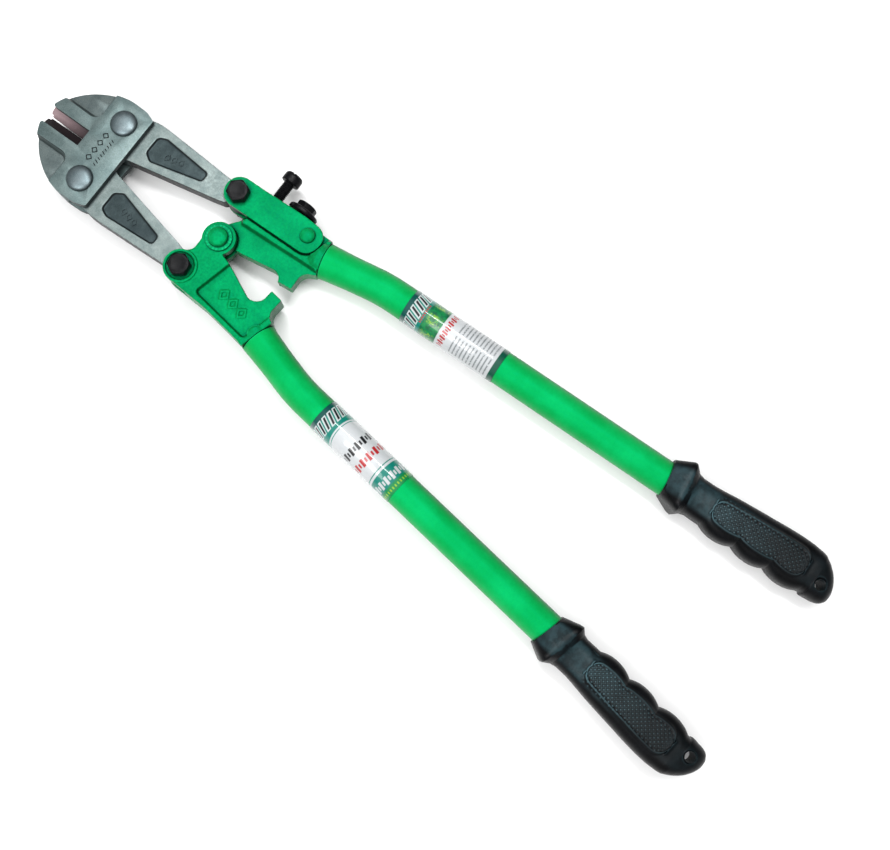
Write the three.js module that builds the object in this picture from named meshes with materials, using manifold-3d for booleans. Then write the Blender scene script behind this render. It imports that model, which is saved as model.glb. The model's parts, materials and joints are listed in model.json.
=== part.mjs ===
// Bolt cutters of the 600 mm class: a compound-leverage cutter with two short jaws between side plates,
// two long tube handles on cast fork ends, and an adjusting link on the right side.
// Millimetres. The tool lies flat: +Y runs to the jaw tips, +X to the adjusting side, +Z up.
// Everything is drawn in the tool plane with the centre pivot at (0, 0) and the mid-plane at z = 0.
// At the end the whole tool is moved so that the middle of its underside is the origin.
import * as THREE from "three";
import { mergeVertices } from "three/addons/utils/BufferGeometryUtils.js";
import Module from "manifold-3d";

const wasm = await Module();
wasm.setup();
const rad = THREE.MathUtils.degToRad;

// ---- driving dimensions -------------------------------------------------------------------------
const GAP = 0.3; // running gap between pieces that touch
const LEFT = -1;
const RIGHT = 1;

// heights above the mid-plane
const JAW_HALF = 5.5; // half thickness of a jaw, of the right casting's web and of its tongue
const PLATE_LOW = JAW_HALF + GAP;
const PLATE_HIGH = 9.8; // side plates and link plates are 4 mm strip
const CAST_HALF = 11.3; // half thickness of the left casting and of its fork ears
const POCKET_FLOOR = 8.2; // floor of the cast pockets
const RIB_HALF = 8.6; // half thickness of the right casting's rib
const FOOT = 18.5; // bolt ends and grip collars all reach this far down, so the tool lies level

// head: its own frame, x across and y to the tips, turned a little on the handle pair
const HEAD_AT = [-3.5, 102.3];
const HEAD_TURN = rad(3.49);
const HEAD_HALF_WIDTH = 40;
const HEAD_WAIST = 3; // y where the head is widest
const HEAD_NOSE = 45.8; // from the waist to the top of the nose
const HEAD_POWER = 1.8; // fullness of the nose curve
const PLATE_REAR = -15;
const NOTCH_HALF = 6.5;
const NOTCH_FLOOR = 16;
const RECESS_X = 15.3; // inner wall of the plate's corner recess
const RECESS_DRAFT = 2.4;
const JAW_PIVOT_X = 24; // jaw pivots lie at (-24, 0) and (24, 0) in the head frame
const JAW_SWAY = rad(-0.745); // both jaws stand a little to one side between the plates
const JAW_OPEN_AT_REST = rad(0.55);
const JAW_TAIL = [-32.7, -93.2]; // rear bolt of the left jaw, closed, in the head frame
const TAIL_RADIUS = 9.8;
const EDGE_CLEARANCE = 0.08; // each cutting edge stops this far from the middle
const EDGE_LAND = 0.35; // half height of the flat on the cutting edge
const BEVEL_WIDTH = 7.2;
const RIVET_SHANK = 6;

// handles: centre pivot at the origin
const PIVOT_SHANK = 4.9;
const BORE = PIVOT_SHANK + GAP;
const PIVOT_PLAY = 7.4; // radius of the oversize bore of the right tongue
const LEFT_BOLT_AT = [-30.8, 7.3];
const RIGHT_BOLT_AT = [32.7, 10.9];
const LINK_RIVET_AT = [39.0, -44.4];
const LINK_RIVET_SHANK = 4.5;
const BOSS_RADIUS = 11.6;
const TONGUE_RADIUS = 11.4;
const HEAD_ACROSS = 14; // hexagon heads of the tail bolts, across flats
const NUT_ACROSS = 16;

// handle tubes, left one; the right one is its mirror image
const TUBE_RADIUS = 11.7;
const TUBE_BORE = 9.9;
const TUBE_MOUTH_RADIUS = 12.6;
const COLLAR_AT = [-34.5, -62.5];
const COLLAR_LEAN = rad(13.5); // lean of the tube's top stretch
const TUBE_LEAN = rad(4.5); // lean of the long straight stretch
const KNEE_BELOW = 45; // from the collar to the knee
const KNEE_RADIUS = 130;
const GRIP_BELOW = 269; // from the collar's height down to the grip's mouth
const TUBE_IN_GRIP = 100;
const HANG_HOLE = [3.5, 116]; // across and below the grip's mouth
const LABEL_FROM = 20; // below the knee
const LABEL_LENGTH = 74;

// adjusting screws of the right side
const SCREW_TURN = rad(3.5);
const PUSH_AT = [46.8, -8.9];
const LOCK_AT = [48.6, -28.9];
const SCREW_RADIUS = 4;

// ---- materials ----------------------------------------------------------------------------------
const finish = (color, roughness, metalness) =>
  new THREE.MeshStandardMaterial({ color, roughness, metalness });
const SATIN_STEEL = finish(0x8b9793, 0.45, 0.85);
const DARK_STEEL = finish(0x16181a, 0.4, 0.6);
const CAST_GREEN = finish(0x109a4c, 0.5, 0.1);
const TUBE_GREEN = finish(0x17ab57, 0.4, 0.1);
const GRIP_BLACK = finish(0x15171a, 0.6, 0);
const LABEL_WHITE = finish(0xdfe4e4, 0.3, 0);

// ---- geometry helpers ---------------------------------------------------------------------------
function bare(geometry) {
  const flat = geometry.index ? geometry.toNonIndexed() : geometry;
  return new THREE.BufferGeometry().setAttribute("position", flat.getAttribute("position"));
}

function solid(geometry) {
  const merged = mergeVertices(bare(geometry), 1e-4);
  return new wasm.Manifold(
    new wasm.Mesh({
      numProp: 3,
      vertProperties: merged.getAttribute("position").array,
      triVerts: new Uint32Array(merged.index.array),
    }),
  );
}

function geometryOf(body) {
  const mesh = body.getMesh();
  const geometry = new THREE.BufferGeometry();
  geometry.setAttribute("position", new THREE.BufferAttribute(mesh.vertProperties.slice(), 3));
  geometry.setIndex(new THREE.BufferAttribute(mesh.triVerts.slice(), 1));
  geometry.computeVertexNormals();
  return geometry;
}

const join = (first, ...rest) => rest.reduce((sum, next) => sum.add(next), first);
const cut = (first, ...rest) => rest.reduce((left, next) => left.subtract(next), first);

// The same geometry seen in a mirror, across x = 0 unless another scale is given, with its faces
// turned out again.
function mirrored(geometry, scale = [-1, 1, 1]) {
  const flat = bare(geometry).scale(...scale);
  const at = flat.getAttribute("position");
  for (let i = 0; i < at.count; i += 3) {
    const keep = new THREE.Vector3().fromBufferAttribute(at, i);
    at.setXYZ(i, at.getX(i + 1), at.getY(i + 1), at.getZ(i + 1));
    at.setXYZ(i + 1, keep.x, keep.y, keep.z);
  }
  return flat;
}

// The same solid seen in a mirror across x = 0, and across the mid-plane z = 0.
const otherSide = (body) => solid(mirrored(geometryOf(body)));
const otherFace = (body) => solid(mirrored(geometryOf(body), [1, 1, -1]));

// A closed outline from corners [x, y, radius]: a corner with a radius becomes an arc.
function outline(corners, arcStep = 14) {
  const points = [];
  corners.forEach(([x, y, radius = 0], i) => {
    const here = new THREE.Vector2(x, y);
    if (!radius) {
      points.push(here);
      return;
    }
    const before = corners.at(i - 1);
    const after = corners[(i + 1) % corners.length];
    const back = new THREE.Vector2(before[0] - x, before[1] - y).normalize();
    const ahead = new THREE.Vector2(after[0] - x, after[1] - y).normalize();
    const half = Math.acos(back.dot(ahead)) / 2;
    const middle = back.clone().add(ahead).normalize();
    const centre = here.clone().addScaledVector(middle, radius / Math.sin(half));
    const from = here.clone().addScaledVector(back, radius / Math.tan(half)).sub(centre);
    const sweep = (Math.PI - 2 * half) * Math.sign(ahead.cross(back));
    const steps = Math.max(2, Math.ceil(Math.abs(sweep) / rad(arcStep)));
    for (let k = 0; k <= steps; k++) {
      points.push(from.clone().rotateAround(new THREE.Vector2(), (sweep * k) / steps).add(centre));
    }
  });
  return points;
}

// A flat piece with the given outline from z = low to z = high.
function slab(points, low, high) {
  const geometry = new THREE.ExtrudeGeometry(new THREE.Shape(points), {
    depth: high - low,
    bevelEnabled: false,
  });
  return solid(geometry.translate(0, 0, low));
}

// A turned piece about the z axis through (x, y); the profile runs up from the axis to the axis.
function turned(profile, [x, y] = [0, 0], segments = 24) {
  const points = profile.map(([radius, z]) => new THREE.Vector2(radius, z));
  const lathe = new THREE.LatheGeometry(points, segments);
  return lathe.rotateX(Math.PI / 2).translate(x, y, 0);
}

function disc(radius, low, high, at = [0, 0], segments = 28) {
  return solid(turned([[0, low], [radius, low], [radius, high], [0, high]], at, segments));
}

// A hexagonal head or nut with its edges turned off, both ends flat.
function hexagon(across, low, high, at, turn = 0) {
  const corner = across / Math.sqrt(3);
  const points = [0, 1, 2, 3, 4, 5].map((k) => {
    const angle = turn + (k * Math.PI) / 3;
    return new THREE.Vector2(at[0] + corner * Math.cos(angle), at[1] + corner * Math.sin(angle));
  });
  const chamfer = corner - across / 2 + 0.35;
  const round = turned(
    [
      [0, low],
      [corner - chamfer, low],
      [corner, low + chamfer * 0.6],
      [corner, high - chamfer * 0.6],
      [corner - chamfer, high],
      [0, high],
    ],
    at,
  );
  return slab(points, low, high).intersect(solid(round));
}

// A closed skin through rings of points; each ring has the same number of points.
function skin(rings) {
  const count = rings[0].length;
  const at = [];
  const triangle = (a, b, c) => at.push(...a.toArray(), ...b.toArray(), ...c.toArray());
  const middle = (ring) =>
    ring.reduce((sum, p) => sum.add(p), new THREE.Vector3()).divideScalar(count);
  rings.slice(1).forEach((ring, i) => {
    for (let k = 0; k < count; k++) {
      const next = (k + 1) % count;
      triangle(rings[i][k], rings[i][next], ring[next]);
      triangle(rings[i][k], ring[next], ring[k]);
    }
  });
  const first = middle(rings[0]);
  const last = middle(rings.at(-1));
  for (let k = 0; k < count; k++) {
    const next = (k + 1) % count;
    triangle(rings[0][next], rings[0][k], first);
    triangle(rings.at(-1)[k], rings.at(-1)[next], last);
  }
  const geometry = new THREE.BufferGeometry();
  geometry.setAttribute("position", new THREE.Float32BufferAttribute(at, 3));
  return geometry;
}

// A cutter with sloping walls: the outline at z = low, opened by the draft at z = high.
function drafted(corners, low, high, draft) {
  const at = (points, z) => points.map((p) => new THREE.Vector3(p.x, p.y, z));
  const inner = outline(corners);
  const middle = inner.reduce((sum, p) => sum.add(p), new THREE.Vector2()).divideScalar(inner.length);
  const outer = inner.map((p, i) => {
    const along = inner[(i + 1) % inner.length].clone().sub(inner.at(i - 1)).normalize();
    const away = new THREE.Vector2(along.y, -along.x);
    const side = Math.sign(away.dot(p.clone().sub(middle))) || 1;
    return p.clone().addScaledVector(away, side * draft);
  });
  const clockwise = THREE.ShapeUtils.area(inner) < 0;
  const rings = [at(inner, low), at(outer, high)];
  return solid(skin(clockwise ? rings.map((ring) => ring.reverse()) : rings));
}

function mesh(name, shape, material) {
  const geometry = shape.isBufferGeometry ? shape : geometryOf(shape);
  const made = new THREE.Mesh(geometry, material);
  made.name = name;
  return made;
}

// ---- head ---------------------------------------------------------------------------------------
// Points of the nose curve from x = from to the waist, on one side.
function nose(halfWidth, from, side, steps = 12) {
  const start = Math.acos((from / halfWidth) ** (HEAD_POWER / 2));
  return Array.from({ length: steps + 1 }, (_, k) => {
    const angle = start * (1 - k / steps);
    return new THREE.Vector2(
      side * halfWidth * Math.cos(angle) ** (2 / HEAD_POWER),
      HEAD_WAIST + HEAD_NOSE * Math.sin(angle) ** (2 / HEAD_POWER),
    );
  });
}

function sidePlateBody() {
  const rear = outline([
    [-HEAD_HALF_WIDTH, HEAD_WAIST - 1],
    [-39.7, -8, 14],
    [-37, PLATE_REAR, 1.5],
    [37, PLATE_REAR, 1.5],
    [39.7, -8, 14],
    [HEAD_HALF_WIDTH, HEAD_WAIST - 1],
  ]);
  const left = nose(HEAD_HALF_WIDTH, NOTCH_HALF, LEFT);
  const right = nose(HEAD_HALF_WIDTH, NOTCH_HALF, RIGHT).reverse();
  const notch = [
    new THREE.Vector2(NOTCH_HALF, NOTCH_FLOOR),
    new THREE.Vector2(-NOTCH_HALF, NOTCH_FLOOR),
  ];
  let plate = slab([...rear, ...right, ...notch, ...left], PLATE_LOW, PLATE_HIGH);
  for (const side of [LEFT, RIGHT]) {
    const wall = side * (RECESS_X + RECESS_DRAFT);
    const corners = [
      [wall, 60],
      [wall, NOTCH_FLOOR + RECESS_DRAFT, 4],
      [side * 60, NOTCH_FLOOR + RECESS_DRAFT],
      [side * 60, 60],
    ];
    plate = plate.subtract(drafted(corners, PLATE_LOW - 0.1, PLATE_HIGH + 0.1, RECESS_DRAFT));
  }
  for (const side of [LEFT, RIGHT]) {
    plate = plate.subtract(disc(RIVET_SHANK + GAP, 0, 20, [side * JAW_PIVOT_X, 0]));
  }
  return plate;
}

// A rivet through a pair of plates, with a domed head on each of them.
function rivet(shank, headRadius, headHeight, at) {
  const seat = PLATE_HIGH + GAP;
  const rim = 0.6;
  const dome = (side) => {
    const steps = 3;
    return Array.from({ length: steps + 1 }, (_, k) => {
      const angle = ((Math.PI / 2) * k) / steps;
      const height = seat + rim + (headHeight - rim) * Math.sin(angle);
      return [headRadius * Math.cos(angle), side * height];
    });
  };
  const below = dome(-1).reverse();
  const above = dome(1);
  below[0][0] = 0;
  above.at(-1)[0] = 0;
  return turned(
    [
      ...below,
      [headRadius, -seat],
      [shank, -seat],
      [shank, seat],
      [headRadius, seat],
      ...above,
    ],
    at,
    24,
  );
}

function leftJawBody() {
  const front = nose(HEAD_HALF_WIDTH + 0.2, 2.5, LEFT);
  const rear = outline([
    [-40.4, -12, 40],
    [-38.8, -56, 90],
    [-37.6, -84],
    [-30, -93],
    [-22.2, -88, 4],
    [-19.6, -78],
    [-6.3, -18, 12],
    [-0.7, 1, 6],
    [-EDGE_CLEARANCE, 9],
    [-EDGE_CLEARANCE, HEAD_WAIST + HEAD_NOSE - 1.2, 0.8],
  ]);
  let jaw = slab([...front, ...rear], -JAW_HALF, JAW_HALF);
  jaw = jaw.add(disc(TAIL_RADIUS, -JAW_HALF, JAW_HALF, JAW_TAIL));
  jaw = cut(
    jaw,
    disc(RIVET_SHANK + GAP, -20, 20, [-JAW_PIVOT_X, 0]),
    disc(BORE, -20, 20, JAW_TAIL),
  );
  // bevels of the cutting edge, front and back
  const wedge = [
    [-BEVEL_WIDTH, JAW_HALF],
    [-BEVEL_WIDTH, JAW_HALF + 2],
    [3, JAW_HALF + 2],
    [3, EDGE_LAND],
    [-EDGE_CLEARANCE, EDGE_LAND],
  ].map(([x, z]) => new THREE.Vector2(x, z));
  const bevel = new THREE.ExtrudeGeometry(new THREE.Shape(wedge), { depth: 60, bevelEnabled: false });
  bevel.rotateX(Math.PI / 2).translate(0, 60 + NOTCH_FLOOR - 2, 0);
  const above = solid(bevel);
  jaw = cut(jaw, above, otherFace(above));
  // tapering pocket in each face of the arm
  const pocket = drafted(
    [
      [-31, -23.5, 3],
      [-18.5, -23.5, 3],
      [-14.9, -29, 3],
      [-25, -65.8, 2],
      [-31, -65.8, 2],
      [-33.4, -29, 3],
    ],
    JAW_HALF - 1.6,
    JAW_HALF + 0.1,
    1.0,
  );
  jaw = cut(jaw, pocket, otherFace(pocket));
  return geometryOf(jaw).translate(JAW_PIVOT_X, 0, 0);
}

// ---- left handle --------------------------------------------------------------------------------
// Turns a piece drawn along -y from the origin onto the collar of the left handle.
function onCollar(geometry) {
  return geometry.rotateZ(-COLLAR_LEAN).translate(COLLAR_AT[0], COLLAR_AT[1], 0);
}

function alongTube(profile, segments = 28) {
  return onCollar(turned(profile, [0, 0], segments).rotateX(Math.PI / 2));
}

// Collar above the tube's mouth and the spigot that the tube is pressed on.
function collar() {
  return solid(
    alongTube([
      [0, -9],
      [10.5, -9],
      [TUBE_MOUTH_RADIUS - 0.4, -5.5],
      [TUBE_MOUTH_RADIUS, -4.5],
      [TUBE_MOUTH_RADIUS, -GAP],
      [TUBE_BORE - GAP, -GAP],
      [TUBE_BORE - GAP, 24],
      [TUBE_BORE - GAP - 1, 25],
      [0, 25],
    ]),
  );
}

// Everything below the collar's lower face, where only the spigot goes on.
function belowCollar() {
  return solid(alongTube([[0, -GAP], [30, -GAP], [30, 40], [0, 40]]));
}

function leftCastingBody() {
  const web = slab(
    outline([
      [-45.5, -55.5],
      [-42.3, -24, 60],
      [-42.3, 7.3],
      [-30.8, 7.3],
      [-24, 16],
      [-16.3, 8.2, 7],
      [-7.5, 9],
      [0, 0],
      [-7.2, -9.3],
      [-8.8, -16.3],
      [-22.4, -49.9, 8],
      [-4.9, -50, 1],
      [-5.9, -59.5, 1],
      [-19, -59, 7],
      [-22.5, -66.5],
      [-46.8, -60.5],
    ]),
    -CAST_HALF,
    CAST_HALF,
  );
  let casting = join(
    cut(web, belowCollar()),
    disc(BOSS_RADIUS, -CAST_HALF - 1, CAST_HALF + 1, LEFT_BOLT_AT),
    disc(BOSS_RADIUS, PLATE_LOW, CAST_HALF, [0, 0]),
    collar(),
  );
  // seats of the bolt head and the nut inside the rims of the bolt boss
  const seat = 9.7;
  casting = cut(
    casting,
    disc(seat, CAST_HALF, CAST_HALF + 2, LEFT_BOLT_AT),
    disc(seat, -CAST_HALF - 2, -CAST_HALF, LEFT_BOLT_AT),
  );
  // half-lap at the centre pivot: room for the tongue of the right casting below
  casting = cut(casting, disc(TONGUE_RADIUS + 2.9, -CAST_HALF - 2, GAP / 2));
  const lapRoom = cut(
    disc(TONGUE_RADIUS + 2.9, 0, PLATE_LOW),
    disc(9.5, -1, PLATE_LOW + 1),
  );
  const bridge = slab(
    outline([
      [-30, 12],
      [-7, 9.5],
      [-6.5, -10],
      [-30, -14],
    ]),
    GAP / 2,
    PLATE_LOW,
  );
  casting = cut(casting, cut(lapRoom, bridge));
  casting = casting.add(disc(9.5, GAP / 2, PLATE_LOW + 0.5));
  // fork slot for the tail of the left jaw, open to the front and to the outside
  const slotSide = slab(
    outline([
      [-60, -4],
      [-38, -4],
      [LEFT_BOLT_AT[0], LEFT_BOLT_AT[1]],
      [-18.7, 4.5],
      [-17, 24],
      [-60, 24],
    ]),
    -PLATE_LOW,
    PLATE_LOW,
  );
  casting = cut(casting, slotSide, disc(TAIL_RADIUS + 1, -PLATE_LOW, PLATE_LOW, LEFT_BOLT_AT));
  casting = cut(casting, disc(BORE, -20, 20, LEFT_BOLT_AT), disc(BORE, -20, 20));
  // pocket in each face, open towards the inner edge
  const pocket = drafted(
    [
      [-37.2, -12.2, 2],
      [-4, -18.6],
      [6, -50],
      [0, -70],
      [-20, -60.6],
      [-41.3, -56.8, 2],
    ],
    POCKET_FLOOR,
    CAST_HALF + 0.1,
    1,
  );
  return cut(casting, pocket, otherFace(pocket));
}

// Unit vector down a left tube that leans outwards by an angle.
const down = (lean) => new THREE.Vector2(-Math.sin(lean), -Math.cos(lean));

// Centre line of the left tube: points along it with the lean at each, the knee, and the direction
// and the length of the straight stretch down to the grip's mouth.
function tubeLine() {
  const start = new THREE.Vector2(...COLLAR_AT);
  const bend = COLLAR_LEAN - TUBE_LEAN;
  const reach = KNEE_RADIUS * Math.tan(bend / 2);
  const knee = start.clone().addScaledVector(down(COLLAR_LEAN), KNEE_BELOW);
  const line = [0, 12, 24].map((s) => ({
    at: start.clone().addScaledVector(down(COLLAR_LEAN), s),
    lean: COLLAR_LEAN,
  }));
  const bendSteps = 4;
  const from = knee.clone().addScaledVector(down(COLLAR_LEAN), -reach);
  const inwards = new THREE.Vector2(Math.cos(COLLAR_LEAN), -Math.sin(COLLAR_LEAN));
  const centre = from.clone().addScaledVector(inwards, KNEE_RADIUS);
  for (let k = 0; k <= bendSteps; k++) {
    const turn = (bend * k) / bendSteps;
    line.push({ at: from.clone().rotateAround(centre, turn), lean: COLLAR_LEAN - turn });
  }
  const length = (GRIP_BELOW - KNEE_BELOW * Math.cos(COLLAR_LEAN)) / Math.cos(TUBE_LEAN);
  for (const s of [length / 2, length, length + TUBE_IN_GRIP]) {
    line.push({ at: knee.clone().addScaledVector(down(TUBE_LEAN), s), lean: TUBE_LEAN });
  }
  return { line, knee, length, along: down(TUBE_LEAN) };
}

// A round bar along the centre line, longer by the overshoot at both ends.
function tubeSkin(radiusOf, overshoot = 0, segments = 24) {
  const { line } = tubeLine();
  const rings = line.map(({ at, lean }, i) => {
    const shift = i === 0 ? -overshoot : i === line.length - 1 ? overshoot : 0;
    const centre = at.clone().addScaledVector(down(lean), shift);
    const radius = radiusOf(i);
    return Array.from({ length: segments }, (_, k) => {
      const angle = (2 * Math.PI * k) / segments;
      const across = radius * Math.cos(angle);
      return new THREE.Vector3(
        centre.x + across * Math.cos(lean),
        centre.y - across * Math.sin(lean),
        radius * Math.sin(angle),
      );
    });
  });
  return solid(skin(rings));
}

function leftTubeBody() {
  const flare = [TUBE_MOUTH_RADIUS, 12.5, 12.2];
  const outer = tubeSkin((i) => flare[i] ?? TUBE_RADIUS);
  const bore = tubeSkin(() => TUBE_BORE, 1);
  return cut(outer, bore);
}

// A printed wrap round the straight stretch of the left tube, with a seam at the back.
function leftLabelBody() {
  const { knee, along } = tubeLine();
  const inner = TUBE_RADIUS + 0.15;
  const outer = inner + 0.25;
  const seam = rad(6);
  const shape = new THREE.Shape();
  shape.absarc(0, 0, outer, -Math.PI / 2 + seam, 1.5 * Math.PI - seam, false);
  shape.absarc(0, 0, inner, 1.5 * Math.PI - seam, -Math.PI / 2 + seam, true);
  const wrap = new THREE.ExtrudeGeometry(shape, {
    depth: LABEL_LENGTH,
    bevelEnabled: false,
    curveSegments: 28,
  });
  const top = knee.clone().addScaledVector(along, LABEL_FROM);
  return solid(wrap.rotateX(Math.PI / 2).rotateZ(-TUBE_LEAN).translate(top.x, top.y, 0));
}

// ---- grips --------------------------------------------------------------------------------------
// Sections of the left grip: outer and inner edge as [across, below the mouth], then the half
// thickness and the squareness. Sections of the collar and the tail stand aslant.
function gripSections() {
  const back = new THREE.SplineCurve(
    [
      [27, 13.5],
      [46, 15.4],
      [70, 17.1],
      [89, 18.2],
      [100, 18.1],
      [107, 17.3],
    ].map(([below, across]) => new THREE.Vector2(below, across)),
  );
  const fingers = (below) => 14.9 + 1.6 * Math.cos((2 * Math.PI * (below - 45.5)) / 24.7);
  const collarPart = [
    [[-13, -3], [12.6, 1], 13.2, 3.4],
    [[-17.9, 8], [16.3, 11.6], FOOT, 3.4],
    [[-17.9, 9.8], [16.9, 14.6], FOOT, 3.4],
    [[-14.5, 15], [14, 18.6], 14, 3],
    [[-13.6, 19], [13.1, 22], 13.4, 2.8],
  ];
  const bodySteps = 16;
  const bodyPart = Array.from({ length: bodySteps + 1 }, (_, k) => {
    const share = k / bodySteps;
    const spot = back.getPoint(share);
    const finger = spot.x < 33 ? 13.4 : fingers(spot.x);
    return [[-spot.y, spot.x], [finger, spot.x], 13.4 + 1.2 * share, 2.8];
  });
  const tailPart = [
    [[-16.6, 110], [13, 110], 14.4, 2.8],
    [[-15.8, 111.6], [14.2, 111], 14.2, 2.8],
    [[-13, 116], [14, 115.2], 13, 2.7],
    [[-8.6, 120.8], [13.6, 119.8], 10.8, 2.6],
    [[-3, 124.6], [12.4, 123.4], 7.6, 2.5],
    [[2, 126.6], [9.6, 126], 3.6, 2.4],
  ];
  return [...collarPart, ...bodyPart, ...tailPart];
}

function leftGripBody(points = 20) {
  const { knee, along, length } = tubeLine();
  const mouth = knee.clone().addScaledVector(along, length);
  const across = new THREE.Vector2(-along.y, along.x);
  const spot = ([u, below]) => mouth.clone().addScaledVector(across, u).addScaledVector(along, below);
  const power = (value, exponent) => Math.sign(value) * Math.abs(value) ** exponent;
  const step = (2 * Math.PI) / points;
  const top = Math.cos(step / 2); // sine of the corner next to the top, which is a narrow flat
  const rings = gripSections().map(([outer, inner, half, square]) => {
    const a = spot(outer);
    const b = spot(inner);
    const middle = a.clone().add(b).multiplyScalar(0.5);
    const reach = b.clone().sub(a).multiplyScalar(0.5);
    return Array.from({ length: points }, (_, k) => {
      const angle = step * (k + 0.5);
      const edge = middle.clone().addScaledVector(reach, power(Math.cos(angle), 2 / square));
      return new THREE.Vector3(edge.x, edge.y, half * power(Math.sin(angle) / top, 2 / square));
    });
  });
  const radius = TUBE_RADIUS + GAP;
  const above = 20; // the bore's cutter starts this far above the mouth
  const depth = TUBE_IN_GRIP + 1.5;
  const bore = new THREE.CylinderGeometry(radius, radius, above + depth, 28);
  const boreMiddle = spot([0, (depth - above) / 2]);
  bore.rotateZ(-TUBE_LEAN).translate(boreMiddle.x, boreMiddle.y, 0);
  const hole = spot(HANG_HOLE);
  return cut(solid(skin(rings)), solid(bore), disc(3.7, -30, 30, [hole.x, hole.y], 24));
}

// ---- right handle -------------------------------------------------------------------------------
const LINK_CORNERS = [
  [43.6, 21.8, 10.7],
  [45.3, -2],
  [48.4, -33, 30],
  [48.6, -56.2, 10],
  [27.6, -54.6, 10],
  [21.9, 21.8, 10.7],
];

function linkPlateBody() {
  return cut(
    slab(outline(LINK_CORNERS, 12), PLATE_LOW, PLATE_HIGH),
    disc(BORE, 0, 20, RIGHT_BOLT_AT),
    disc(LINK_RIVET_SHANK + GAP, 0, 20, LINK_RIVET_AT),
  );
}

// Places a piece drawn along +x from the origin on a screw axis of the right side.
function onScrewAxis(geometry, at) {
  return solid(geometry.rotateZ(SCREW_TURN).translate(at[0], at[1], 0));
}

// A piece turned about a screw axis; the profile runs outwards along it.
function screwTurned(profile, at) {
  return onScrewAxis(turned(profile).rotateY(Math.PI / 2), at);
}

// Cutter for the clearance hole of a screw.
function screwBore(at) {
  const radius = SCREW_RADIUS + GAP;
  return screwTurned([[0, -20], [radius, -20], [radius, 6], [0, 6]], at);
}

function rightCastingBody() {
  const web = slab(
    outline([
      [0, 0],
      [2.1, -16.5],
      [8.9, -47.8, 7],
      [2.9, -48.4, 1],
      [4.4, -58.4, 1],
      [17.5, -57.2, 8],
      [22.8, -66.5],
      [46.5, -60.5],
      [46.8, -40, 20],
      [45.2, -15.5],
      [35.5, -16.2],
      [36.3, -3],
      [22, -3.2, 3],
      [9.5, 5.5],
    ]),
    -JAW_HALF,
    JAW_HALF,
  );
  const raised = slab(
    outline([
      [15.4, -2.8],
      [20.4, -1.2],
      [30, -6],
      [46, -30],
      [47, -58],
      [46.6, -61],
      [22.4, -66],
      [21.3, -61.5],
    ]),
    -RIB_HALF,
    RIB_HALF,
  );
  const room = outline(
    LINK_CORNERS.map(([x, y, radius]) => {
      const grow = 1.2;
      const sideways = x > 35 ? grow + 6 : -grow;
      return [x + sideways, y > -20 ? y + grow : y - grow, radius && radius + grow];
    }),
    12,
  );
  const casting = join(
    cut(join(web, raised), otherSide(belowCollar())),
    disc(TONGUE_RADIUS, -JAW_HALF - 1, JAW_HALF, [0, 0]),
    otherSide(collar()),
  );
  return cut(
    casting,
    slab(room, JAW_HALF, CAST_HALF + 5),
    slab(room, -CAST_HALF - 5, -JAW_HALF),
    disc(12, -GAP / 2, 20),
    disc(PIVOT_PLAY, -20, 20),
    disc(LINK_RIVET_SHANK + GAP, -20, 20, LINK_RIVET_AT),
    disc(TAIL_RADIUS + 0.8, -20, 20, RIGHT_BOLT_AT),
    screwBore(LOCK_AT),
  );
}

// Threaded block between the link plates that carries the push screw.
function bridgeBlock() {
  const half = 5.1;
  const corners = [
    [-9.6, -half, 1],
    [-0.6, -half, 1],
    [-0.6, half, 1],
    [-9.6, half, 1],
  ];
  const block = geometryOf(slab(outline(corners), -JAW_HALF, JAW_HALF));
  return cut(onScrewAxis(block, PUSH_AT), screwBore(PUSH_AT));
}

function adjustingScrewBody() {
  const head = 6.6;
  const screw = screwTurned(
    [
      [0, -10.4],
      [3.2, -10.4],
      [SCREW_RADIUS, -9.6],
      [SCREW_RADIUS, 15],
      [head, 15],
      [head, 19.6],
      [head - 0.9, 21.4],
      [0, 22],
    ],
    PUSH_AT,
  );
  const slot = new THREE.BoxGeometry(5, 1.6, 20).translate(22.6, 0, 0);
  return cut(screw, onScrewAxis(slot, PUSH_AT));
}

function lockWasherBody() {
  const outer = 11;
  const washer = screwTurned(
    [
      [0, 0.6],
      [outer - 0.8, 0.6],
      [outer, 1.4],
      [outer, 3],
      [outer - 1.2, 4],
      [0, 4],
    ],
    LOCK_AT,
  );
  return cut(washer, screwBore(LOCK_AT));
}

function lockScrewBody() {
  const shank = screwTurned(
    [
      [0, -18],
      [3.3, -18],
      [SCREW_RADIUS, -17],
      [SCREW_RADIUS, 5],
      [0, 5],
    ],
    LOCK_AT,
  );
  const head = geometryOf(hexagon(13, 4 + GAP, 8.8, [0, 0])).rotateY(Math.PI / 2);
  return shank.add(onScrewAxis(head, LOCK_AT));
}

// ---- bolts of the jaw tails ---------------------------------------------------------------------
function tailBolt(at, headSeat, turn) {
  const head = hexagon(HEAD_ACROSS, headSeat + GAP, headSeat + GAP + 5.6, at, turn);
  const shank = solid(
    turned(
      [
        [0, -FOOT],
        [PIVOT_SHANK - 1, -FOOT],
        [PIVOT_SHANK, -FOOT + 1],
        [PIVOT_SHANK, headSeat + 2],
        [0, headSeat + 2],
      ],
      at,
      24,
    ),
  );
  return head.add(shank);
}

function nut(at, seat, height, turn) {
  const top = -seat - GAP;
  return cut(hexagon(NUT_ACROSS, top - height, top, at, turn), disc(BORE, -30, 0, at, 24));
}

// ---- assembly -----------------------------------------------------------------------------------
const tool = new THREE.Group();

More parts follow.
